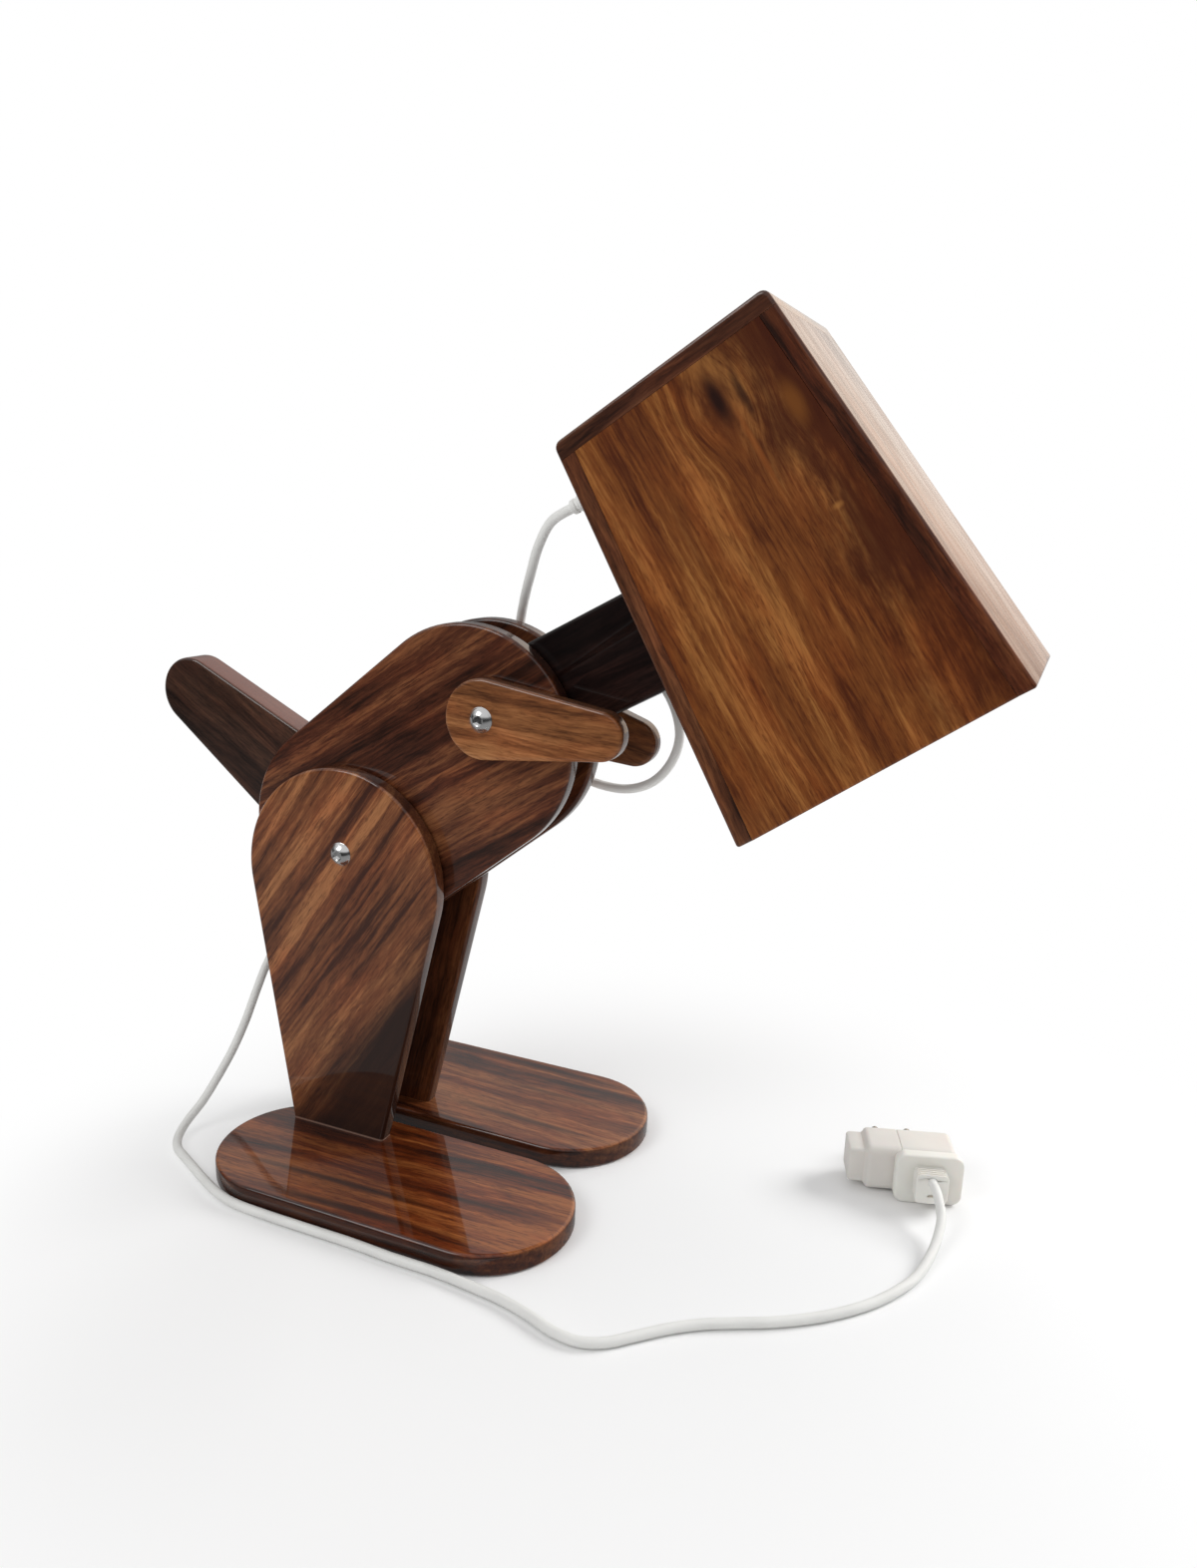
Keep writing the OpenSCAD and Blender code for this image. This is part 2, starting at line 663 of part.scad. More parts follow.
// A block along X with rounded long edges, from x_low to x_low + l
module soft_block(x_low, l, w, h, r) {
    translate([x_low, 0, 0]) rotate([90, 0, 90]) linear_extrude(l) {
        square([w - 2 * r, h], center = true);
        square([w, h - 2 * r], center = true);
        for (x = [-1, 1]) for (y = [-1, 1])
            translate([x * (w / 2 - r), y * (h / 2 - r)]) circle(r);
    }
}

// The block has ribs round it, a slot that the lead comes out of and a blind oval below it
module plug_clamp() {
    rib = clamp_l / 9;
    slot_r = cord_d / 2 + slack;
    color("white") placed() at_plug() difference() {
        union() {
            soft_block(-clamp_l, clamp_l, clamp_w - 2 * rib, clamp_w - 2 * rib, 2);
            for (i = [0 : 2 : 8]) soft_block(-clamp_l + i * rib, rib, clamp_w, clamp_w, 2.5);
        }
        oval_cut([0, lead_rise], slot_r, 3, lead_hole);
        oval_cut([-0.5, -3.5], 1.2, 0.1, 2);
    }
}

// A blind slot in the clamp block's outer face, its round ends 'wide' apart
module oval_cut(p, r, wide, depth) {
    translate([-depth, p.x, p.y]) rotate([0, 90, 0]) {
        cylinder(r = r, h = depth + cut);
        translate([0, -wide, 0]) cylinder(r = r, h = depth + cut);
        translate([-r, -wide, 0]) cube([2 * r, wide, depth + cut]);
    }
}

module plug_flange() {
    color("white") placed() at_plug()
        soft_block(-clamp_l - plug_flange_t, plug_flange_t, plug_flange_w, plug_flange_h, 6);
}

// The body lies across behind the flange, and its free end is drawn in
module plug_body() {
    end = 10;
    back = -clamp_l - plug_flange_t - plug_w / 2;
    color("white") placed() at_plug() translate([back, plug_shift - plug_l / 2, 0])
        rotate([0, 0, 90]) {
            soft_block(end, plug_l - end, plug_w, plug_h, 5);
            soft_block(0, end, plug_w - 6, plug_h - 6, 5);
        }
}

module plug_pins() {
    tip = -clamp_l - plug_flange_t - plug_w - pin_l;
    color("silver") placed() at_plug() for (s = [-1, 1])
        translate([tip, plug_shift + s * pin_gap / 2, 0]) rotate([0, 90, 0]) rotate_extrude()
            polygon([[0, 0], [pin_d / 2 - 1, 0], [pin_d / 2, 1], [pin_d / 2, pin_l], [0, pin_l]]);
}

right_foot();
left_foot();
right_leg();
left_leg();
right_foot_screws();
left_foot_screws();
right_body_plate();
left_body_plate();
hip_bolt();
hip_cap_nut();
shoulder_bolt();
shoulder_cap_nut();
friction_washers();
tail();
neck();
right_arm();
left_arm();
head_top_board();
head_back_board();
head_front_board();
head_right_panel();
head_left_panel();
neck_screws();
lampholder_base();
lampholder_shell();
lampholder_contact();
lampholder_screws();
bulb_cap();
bulb_glass();
cord_bushing();
cord_inner();
cord_upper();
cord_middle();
cord_lower();
cord_floor();
plug_body();
plug_flange();
plug_clamp();
plug_pins();
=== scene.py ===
"""Looks of the wooden dinosaur desk lamp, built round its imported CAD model.

Sizes are in millimetres from the point on the table under the hip bolt, and place() turns them
into metres in the shared frame. X is forward, Z is up and the right side is -Y.
"""
import json
import math

import bmesh
import bpy
import numpy as np
from mathutils import Matrix, Vector


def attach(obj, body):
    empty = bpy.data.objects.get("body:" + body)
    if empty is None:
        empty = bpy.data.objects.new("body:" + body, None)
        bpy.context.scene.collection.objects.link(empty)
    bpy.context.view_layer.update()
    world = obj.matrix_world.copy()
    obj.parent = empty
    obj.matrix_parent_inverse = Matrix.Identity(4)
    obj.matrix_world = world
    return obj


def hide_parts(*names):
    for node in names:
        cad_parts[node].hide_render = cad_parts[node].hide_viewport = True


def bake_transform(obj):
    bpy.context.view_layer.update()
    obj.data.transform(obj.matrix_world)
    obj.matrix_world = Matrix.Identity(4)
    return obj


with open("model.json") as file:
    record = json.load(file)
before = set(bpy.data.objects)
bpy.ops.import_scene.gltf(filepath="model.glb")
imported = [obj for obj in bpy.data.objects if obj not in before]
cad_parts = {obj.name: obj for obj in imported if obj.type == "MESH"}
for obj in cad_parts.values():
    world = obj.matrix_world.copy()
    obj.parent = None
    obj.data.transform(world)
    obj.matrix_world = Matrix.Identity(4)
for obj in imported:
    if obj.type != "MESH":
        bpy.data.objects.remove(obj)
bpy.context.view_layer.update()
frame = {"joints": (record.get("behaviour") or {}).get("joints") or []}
scene = bpy.context.scene
chain = np.concatenate
MM = 0.001
HIP_X = next(j["pos_m"][0] for j in frame["joints"] if j["name"] == "hip")
SIDES = ((-1, "right"), (1, "left"))


def place(points):
    """Millimetres from the foot of the hip bolt, to metres in the frame."""
    return np.asarray(points, float) * MM + (HIP_X, 0, 0)


def add(name, data):
    """A new object in the scene, at the origin."""
    made = bpy.data.objects.new(name, data)
    scene.collection.objects.link(made)
    return made


# ---- camera

FOCAL, FILM, CAMERA_AT = 34.93, 36.0, (375.1, -547.2, 385.9)
AZ, EL, ROLL = math.radians(22.99), math.radians(13.94), math.radians(1.87)
back = Vector((math.sin(AZ) * math.cos(EL), -math.cos(AZ) * math.cos(EL), math.sin(EL)))
side = (-back).cross(Vector((0, 0, 1))).normalized()
up = side.cross(-back)
across = side * math.cos(ROLL) + up * math.sin(ROLL)
upward = up * math.cos(ROLL) - side * math.sin(ROLL)
lens = bpy.data.cameras.new("camera")
lens.lens, lens.sensor_width, lens.sensor_fit = FOCAL, FILM, "HORIZONTAL"
camera = add("camera", lens)
camera.matrix_world = (Matrix.Translation(Vector(place(CAMERA_AT)))
                       @ Matrix((across, upward, back)).transposed().to_4x4())
scene.camera = camera
scene.view_settings.view_transform = "Standard"

# ---- the lamp's sizes

HIP_Z = 186
CORE_T, WASHER_T, PLATE_T, FOOT_T = 18, 0.8, 10, 12.5
HALF_CORE = CORE_T / 2
PLATE_IN = HALF_CORE + WASHER_T
PLATE_OUT = PLATE_IN + PLATE_T
SIDE_IN = PLATE_OUT + WASHER_T
SIDE_OUT = SIDE_IN + PLATE_T
BORE, ROUND = 3.08, 2.0     # a bolt hole's radius, and that of a plate's rim
BODY_TURN, BODY_R = 38.5, 63
LEG_R, ANKLE_R = 63, 28.5
FOOT_Y, FOOT_X, FOOT_REACH, FOOT_R = 54.5, 47, 61.5, 48
NECK_R, NECK_L, NECK_SLOPE = 26.5, 108.5, 29
TAIL_R, TAIL_TIP_R, TAIL_L, TAIL_RISE = 37, 20.5, 144.5, 180 - 32.5
ARM_R, ARM_TIP_R, ARM_L = 21.5, 13, 66
HEAD_H, HEAD_W, TOP, MOUTH, BOARD, NECK_DROP, CORD_DROP = 201, 108, 114, 148, 8.5, 95, 18
FRONT_H = HEAD_H - 4.5
CORD_D = 5.2

# ---- mesh making

MERGE, SHARP = 4e-6, math.radians(35)
HOLD = 0.5                  # a ring this far inside the rim keeps a face flat


def skin(name, sheets):
    """A closed skin from grids of points, each rows x columns x 3 in millimetres. The columns
    of a grid meet round its back; rows that shrink to a point become a fan; the grids' shared
    edges are joined, and the faces are turned outwards."""
    verts, faces, start = [], [], 0
    for grid in sheets:
        rows, cols = grid.shape[:2]
        i = start + np.arange(rows - 1)[:, None] * cols
        j = np.arange(cols)[None]
        k = (j + 1) % cols
        faces.append(np.stack([i + j, i + k, i + k + cols, i + j + cols], -1).reshape(-1, 4))
        verts.append(grid.reshape(-1, 3))
        start += rows * cols
    mesh = bpy.data.meshes.new(name)
    mesh.from_pydata(place(chain(verts)).tolist(), [], chain(faces).tolist())
    bm = bmesh.new()
    bm.from_mesh(mesh)
    bmesh.ops.remove_doubles(bm, verts=bm.verts, dist=MERGE)
    bmesh.ops.recalc_face_normals(bm, faces=bm.faces)
    for f in bm.faces:
        f.smooth = True
    for e in bm.edges:
        e.smooth = not (e.is_manifold and e.calc_face_angle(0) > SHARP)
    bm.to_mesh(mesh)
    bm.free()
    return add(name, mesh)


def joined(name, parts):
    """Several skins as one piece."""
    bm = bmesh.new()
    for p in parts:
        old = p.data
        bm.from_mesh(old)
        bpy.data.objects.remove(p)
        bpy.data.meshes.remove(old)
    mesh = bpy.data.meshes.new(name)
    bm.to_mesh(mesh)
    bm.free()
    return add(name, mesh)


def turned(p, degrees):
    """Points p turned about the origin of their plane."""
    a = math.radians(degrees)
    p = np.asarray(p, float)
    return np.stack([p[..., 0] * math.cos(a) - p[..., 1] * math.sin(a),
                     p[..., 0] * math.sin(a) + p[..., 1] * math.cos(a)], -1)


def arc(centre, radius, a0, a1, n):
    """n points round centre, radius away, from the angle a0 to a1 in degrees."""
    a = np.radians(np.linspace(a0, a1, n))
    return np.stack([centre[0] + radius * np.cos(a), centre[1] + radius * np.sin(a)], -1)


def run(a, b, fractions):
    """Points on the line from a to b at these fractions of it."""
    f = np.asarray(fractions, float)[:, None]
    return np.asarray(a) * (1 - f) + np.asarray(b) * f


def standing(p, depth):
    """A flat shape stood up in the XZ plane, depth along Y."""
    return np.stack([p[..., 0], np.broadcast_to(depth, p.shape[:-1]), p[..., 1]], -1)


def lying(p, depth):
    """A flat shape laid in the XY plane, depth up."""
    return np.stack([p[..., 0], p[..., 1], np.broadcast_to(depth, p.shape[:-1])], -1)


def edge_rings(low, high, e):
    """How far in and how deep each ring of a plate's rim lies: a quarter circle of radius e at
    each face, after one ring on the face itself that keeps the face flat."""
    a = np.radians(np.linspace(0, 90, 7))
    inset = chain([[e + HOLD], e * (1 - np.sin(a))])
    depth = chain([[0], e * (1 - np.cos(a))])
    return zip(chain([inset, inset[::-1]]), chain([low + depth, high - depth[::-1]]))


def halves(loop, i, j, n):
    """A loop cut in two along the line between its points i and j, with n points on the cut."""
    line = run(loop[j], loop[i], np.linspace(0, 1, n + 2)[1:-1])
    return chain([loop[i:j + 1], line]), chain([loop[j:], loop[:i + 1], line[::-1]])


def face_parts(loop, holes, split):
    """The flat face inside a loop, as a grid of rows for each hole: rows run from the loop to
    the hole's circle. Two holes take a part each, either side of the line between the loop's
    points at split. With no hole the rows close on the loop's middle."""
    if not holes:
        return [np.stack([loop, np.broadcast_to(loop.mean(0), loop.shape)])]
    grids = []
    for part, (x, y, r) in zip(halves(loop, *split, 7) if len(holes) == 2 else [loop], holes):
        away = part - (x, y)
        grids.append(np.stack([part, (x, y) + r * away / np.linalg.norm(away, axis=1)[:, None]]))
    return grids


def plate(name, outline, low, high, lift=standing, holes=(), split=None, sunk=(), e=ROUND):
    """A flat plate from low to high. outline(d) is the loop d inside its edge, carried through
    the rim's quarter circles; each face runs in to its bolt holes or closes on its middle.
    'sunk' are countersunk screw holes in the low face alone, in place of bolt holes."""
    inner = outline(e + HOLD)
    bored = face_parts(inner, holes, split)
    sinks = face_parts(inner, sunk, split) if sunk else []
    sheets = [np.stack([lift(outline(d), z) for d, z in edge_rings(low, high, e)])]
    sheets += [lift(g, low) for g in sinks or bored] + [lift(g, high) for g in bored]
    if holes:
        sheets += [np.stack([lift(g[1], low), lift(g[1], high)]) for g in bored]
    for g, (x, y, r) in zip(sinks, sunk):
        spread = g[1] - (x, y)
        sheets.append(np.stack([lift((x, y) + spread * k, low + z)
                                for k, z in ((1, 0), (0.5, r / 2), (0.5, 5), (0, 5))]))
    return skin(name, sheets)


def touching(a, ra, b, rb):
    """For a circle of ra round a and one of rb round b: the direction from a to b, and how far
    to each side of it the two lines that touch both meet them, in degrees."""
    away = np.subtract(b, a)
    return (math.degrees(math.atan2(*away[::-1])),
            math.degrees(math.acos((ra - rb) / np.linalg.norm(away))))


def tapered(a, ra, b, rb):
    """Outline of a plate that tapers from a round end ra at a to one of rb at b: two arcs and
    the two lines that touch both. The arcs shrink by the inset, so the lines move in with them."""
    heading, lean = touching(a, ra, b, rb)
    between = np.linspace(0, 1, 10)[1:-1]

    def outline(d):
        small = arc(b, rb - d, heading - lean, heading + lean, 33)
        large = arc(a, ra - d, heading + lean, heading + 360 - lean, 61)
        return chain([small, run(small[-1], large[0], between), large,
                      run(large[-1], small[0], between)])
    return outline


def stadium(a, b, r, marks):
    """Outline of a plate with equal round ends at a and b. marks are fractions along the
    straight sides where points lie; the middle one is where the face may be split."""
    heading, lean = touching(a, r, b, r)
    end, n = 49, len(marks)

    def outline(d):
        far = arc(b, r - d, heading - lean, heading + lean, end)
        near = arc(a, r - d, heading + lean, heading + 3 * lean, end)
        return chain([far, run(far[-1], near[0], 1 - np.asarray(marks)[::-1]), near,
                      run(near[-1], far[0], marks)])
    return outline, (end + n // 2, 2 * end + n + n // 2)


def board_outline(corners, shares, radii):
    """Outline of a board with straight sides, given anticlockwise. At the inset d a side moves
    in by its share of d, and each corner is rounded by an arc that touches its two sides."""
    corners = np.asarray(corners, float)
    along = np.roll(corners, -1, 0) - corners
    along /= np.linalg.norm(along, axis=1)[:, None]
    inward = np.stack([-along[:, 1], along[:, 0]], -1)
    shares, radii = np.asarray(shares, float), np.asarray(radii, float)

    def outline(d):
        reach = (inward * corners).sum(1) + shares * d
        prev_in, prev_reach = np.roll(inward, 1, 0), np.roll(reach, 1)
        det = prev_in[:, 0] * inward[:, 1] - prev_in[:, 1] * inward[:, 0]
        at = np.stack([prev_reach * inward[:, 1] - reach * prev_in[:, 1],
                       reach * prev_in[:, 0] - prev_reach * inward[:, 0]], -1) / det[:, None]
        r = np.maximum(radii - d * 0.6, 0.05)[:, None, None]
        half = np.arccos(np.clip((prev_in * inward).sum(1), -1, 1)) / 2
        middle = prev_in + inward
        middle /= np.linalg.norm(middle, axis=1)[:, None]
        centre = at[:, None] + middle[:, None] * r / np.cos(half)[:, None, None]
        t = np.linspace(-1, 1, 6)[None, :, None] * half[:, None, None]
        square = np.stack([-middle[:, 1], middle[:, 0]], -1)[:, None]
        return (centre - r * (np.sin(t) * square + np.cos(t) * middle[:, None])).reshape(-1, 2)
    return outline


KEYED, WOUND = -1, -2       # marks a profile's rows whose radius comes from 'key' or 'thread'


def lathe(name, profile, to_place, n=64, key=(6, 1), thread=(1, 0, 1)):
    """A skin of revolution: each row is one point of the profile, radius and height, carried
    round the axis. A KEYED row is a polygon: key gives its sides and how far apart its flats
    lie. A WOUND row's radius swings once in each turn: thread gives its mean, swing and pitch."""
    profile = np.asarray(profile, float)
    a = np.linspace(0, 2 * np.pi, n, endpoint=False)[None]
    radius, height = profile[:, :1], profile[:, 1:]
    half = np.pi / key[0]
    polygon = key[1] / 2 / np.cos((a + half) % (2 * half) - half)
    wound = thread[0] + thread[1] * np.cos(a - 2 * np.pi * height / thread[2])
    radius = np.where(radius == KEYED, polygon, np.where(radius == WOUND, wound, radius))
    height = np.broadcast_to(height, radius.shape)
    return skin(name, [to_place(np.stack([radius * np.cos(a), radius * np.sin(a), height], -1))])


# ---- the lamp's own frames

hip = np.array([0, HIP_Z])
shoulder = hip + turned((123, 12), BODY_TURN)
TAPER = math.degrees(math.atan((MOUTH - TOP) / 2 / HEAD_H))
HEAD_TURN = NECK_SLOPE + TAPER
neck_end = shoulder + turned((NECK_L, 0), NECK_SLOPE)
sin_t, cos_t, tan_t = (f(math.radians(TAPER)) for f in (math.sin, math.cos, math.tan))
neck_seat = np.array([-TOP / 2 - NECK_DROP * sin_t, -NECK_DROP * cos_t])


def in_head(p):
    """Points of the head's frame (origin in the middle of the top edge, X from back to front,
    Z along the head's axis) to the lamp's."""
    xz = neck_end + turned(p[..., [0, 2]] - neck_seat, HEAD_TURN)
    return np.stack([xz[..., 0], p[..., 1], xz[..., 1]], -1)


def on_back(p, drop):
    """Points of a frame on the back board's outer face, drop below the top edge, with Z
    pointing out of the board, to the lamp's."""
    xz = turned(p[..., [0, 2]], 90 - TAPER)
    xz = xz + (-TOP / 2 - drop * sin_t, -drop * cos_t)
    return in_head(np.stack([xz[..., 0], p[..., 1], xz[..., 1]], -1))


def along_y(p, at, y):
    """Points of a frame whose Z runs along Y from y at the bolt 'at', to the lamp's."""
    return np.stack([at[0] + p[..., 0], y + p[..., 2], at[1] + p[..., 1]], -1)


def side_x(z, inset=0):
    """Where a slanted board's face is, level with z in the head's frame."""
    return TOP / 2 - z * tan_t - inset


# ---- cord

GROUND, RELIEF_END = CORD_D / 2, 25.6
relief_end = on_back(np.array([0, 0, RELIEF_END]), CORD_DROP)
head_stretch = [relief_end, (111, 2, 372), (102, 6, 359), (95, 12, 345), (88, 19, 331),
                (82, 26, 317), (77, 32, 303)]
torso_stretch = [(77, 32, 303), (73, 36, 288), (72, 37, 272), (75, 37, 257), (84, 37, 245),
                 (98, 37, 237), (114, 37, 232), (130, 37, 228), (146, 37, 228), (160, 37, 234),
                 (170, 37, 246), (174, 37, 261), (170, 37, 277), (160, 37, 291), (146, 37, 300),
                 (130, 37, 303), (114, 38, 299), (101, 39, 290), (89, 41, 282), (75, 43, 274),
                 (61, 43, 264), (47, 41, 253), (34, 38, 241), (22, 37, 228), (11, 37, 213),
                 (-1, 37, 202), (-16, 37, 194), (-31, 37, 183)]
leg_stretch = [(-31, 37, 183), (-44, 37, 170), (-55, 37, 156), (-64, 36, 142), (-71, 31, 128),
               (-77, 22, 115), (-80, 11, 103), (-82, 1, 90), (-83, -8, 76), (-85, -16, 60),
               (-88, -25, 44), (-92, -35, 29), (-96, -45, 16), (-99, -56, 7), (-96, -67, 3),
               (-88, -76, GROUND)]
floor_xy = [(-88, -76), (-77, -82), (-65, -88), (-53, -94), (-37, -101), (-21, -105), (4, -106),
            (30, -106), (56, -106), (81, -107), (107, -107), (132, -109), (148, -111),
            (164, -115), (179, -120), (193, -121), (205, -116), (216, -106), (229, -94),
            (243, -84), (258, -76), (273, -68), (288, -58), (301, -47), (313, -34), (323, -19),
            (330, -4)]
PLUG_TURN, PLUG_FACE, PLUG_Z, LEAD_RISE = -72, np.array([328, 60]), 15, 4.5
plug_dir = turned((1, 0), PLUG_TURN)


def off_plug(x):
    """A point x out from the plug's clamp block, on the lead's own line."""
    return (*(PLUG_FACE + x * plug_dir), PLUG_Z + LEAD_RISE)


floor_stretch = ([(x, y, GROUND) for x, y in floor_xy]
                 + [(334, 12, 4), (336, 27, 7), (336, 40, 12), (332.2, 50.5, 18), off_plug(1),
                    off_plug(-3)])
stretches = [head_stretch, torso_stretch, leg_stretch, floor_stretch]
route = np.array([stretches[0][0]] + [p for s in stretches for p in s[1:]], float)
STEPS = 6


def smooth_line(p, first, last):
    """A line through the points p, by cubics whose slope at a point is half the step between
    its neighbours, with the given headings at its two ends."""
    p = np.asarray(p, float)
    slope = np.empty_like(p)
    slope[1:-1] = (p[2:] - p[:-2]) / 2
    slope[0] = np.asarray(first) * np.linalg.norm(p[1] - p[0])
    slope[-1] = np.asarray(last) * np.linalg.norm(p[-1] - p[-2])
    t = (np.arange(STEPS) / STEPS)[None, :, None]
    a, b, u, v = p[:-1, None], p[1:, None], slope[:-1, None], slope[1:, None]
    line = ((2 * t**3 - 3 * t**2 + 1) * a + (t**3 - 2 * t**2 + t) * u
            + (3 * t**2 - 2 * t**3) * b + (t**3 - t**2) * v)
    return chain([line.reshape(-1, 3), p[-1:]])


def tube_grid(line, radius):
    """Circles of 20 points carried along a line without twist: each ring's first direction is
    the last one's, less its share along the line."""
    heading = np.gradient(line, axis=0)
    heading /= np.linalg.norm(heading, axis=1)[:, None]
    first = np.empty_like(line)
    n = np.array([0.0, 1.0, 0.0])
    for i, h in enumerate(heading):
        n = n - h * (n @ h)
        n /= np.linalg.norm(n)
        first[i] = n
    second = np.cross(heading, first)
    a = np.linspace(0, 2 * np.pi, 20, endpoint=False)[None, :, None]
    return line[:, None] + radius * (np.cos(a) * first[:, None] + np.sin(a) * second[:, None])


lead_out = (-math.cos(math.radians(NECK_SLOPE)), 0, -math.sin(math.radians(NECK_SLOPE)))
lead_line = smooth_line(route, lead_out, (-plug_dir[0], -plug_dir[1], 0))
lead_rings = tube_grid(lead_line, GROUND)
lead_ends = np.cumsum([0] + [len(s) - 1 for s in stretches]) * STEPS
CORDS = list(zip(("cord_upper", "cord_middle", "cord_lower", "cord_floor"), lead_ends[:-1],
                 lead_ends[1:]))
cords = {}
for name, s0, s1 in CORDS:
    rings = lead_rings[s0:s1 + 1]
    first, last = (np.broadcast_to(p, rings[:1].shape) for p in (lead_line[s0], lead_line[s1]))
    cords[name] = skin(name + "_lead", [chain([first, rings, last])])


# ---- materials


class Shade:
    """A material or a group being put together: small helpers that add a node and link it."""

    def __init__(self, tree):
        self.nodes, self.links = tree.nodes, tree.links

    def put(self, value, socket):
        if isinstance(value, bpy.types.NodeSocket):
            self.links.new(value, socket)
        elif value is not None:
            socket.default_value = value

    def node(self, kind, inputs=(), **settings):
        made = self.nodes.new("ShaderNode" + kind)
        for key, value in settings.items():
            setattr(made, key, value)
        for key, value in dict(inputs).items():
            self.put(value, made.inputs[key])
        return made

    def math(self, op, *values):
        return self.node("Math", enumerate(values), operation=op).outputs[0]

    def vector(self, op, *values, scale=None):
        made = self.node("VectorMath", {**dict(enumerate(values)), 3: scale}, operation=op)
        return made.outputs["Value" if op in ("LENGTH", "DISTANCE", "DOT_PRODUCT") else "Vector"]

    def axes(self, vector):
        return self.node("SeparateXYZ", {0: vector}).outputs

    def stretched(self, vector, factors):
        return self.node("Mapping", {"Vector": vector, "Scale": factors}).outputs[0]

    def noise(self, where, scale=1, detail=2, rough=0.5, flat=False):
        """Noise at a point in space, or with 'flat' at a place along one line."""
        made = self.node("TexNoise", {"Scale": scale, "Detail": detail, "Roughness": rough},
                         noise_dimensions="1D" if flat else "3D")
        self.put(where, made.inputs["W" if flat else "Vector"])
        return made.outputs["Fac"]

    def grain(self, vector, factors, detail=3, rough=0.5):
        """Noise whose lumps are this many to a metre along X, Y and Z."""
        return self.noise(self.stretched(vector, factors), 1, detail, rough)

    def span(self, value, low, high, to_low=0, to_high=1, smooth=True):
        return self.node("MapRange", {
            "Value": value, "From Min": low, "From Max": high, "To Min": to_low,
            "To Max": to_high}, interpolation_type="SMOOTHSTEP" if smooth else "LINEAR",
        ).outputs["Result"]

    def mix(self, factor, a, b, blend="MIX"):
        return self.node("Mix", {"Factor": factor, "A": a, "B": b}, data_type="RGBA",
                         blend_type=blend).outputs["Result"]

    def bump(self, height, strength, distance, socket):
        made = self.node("Bump", {"Height": height, "Strength": strength,
                                  "Distance": distance})
        self.put(made.outputs[0], socket)


def srgb(r, g, b):
    """A colour as a paint maker reads it, 0 to 255, to the light it gives back."""
    c = np.array([r, g, b]) / 255
    c = np.where(c <= 0.04045, c / 12.92, ((c + 0.055) / 1.055) ** 2.4)
    return (*c.tolist(), 1.0)


def darkened(colour, share):
    return (*(c * share for c in colour[:3]), 1.0)


PITH = 0.12                 # how far behind the face the middle of the tree lies, in metres


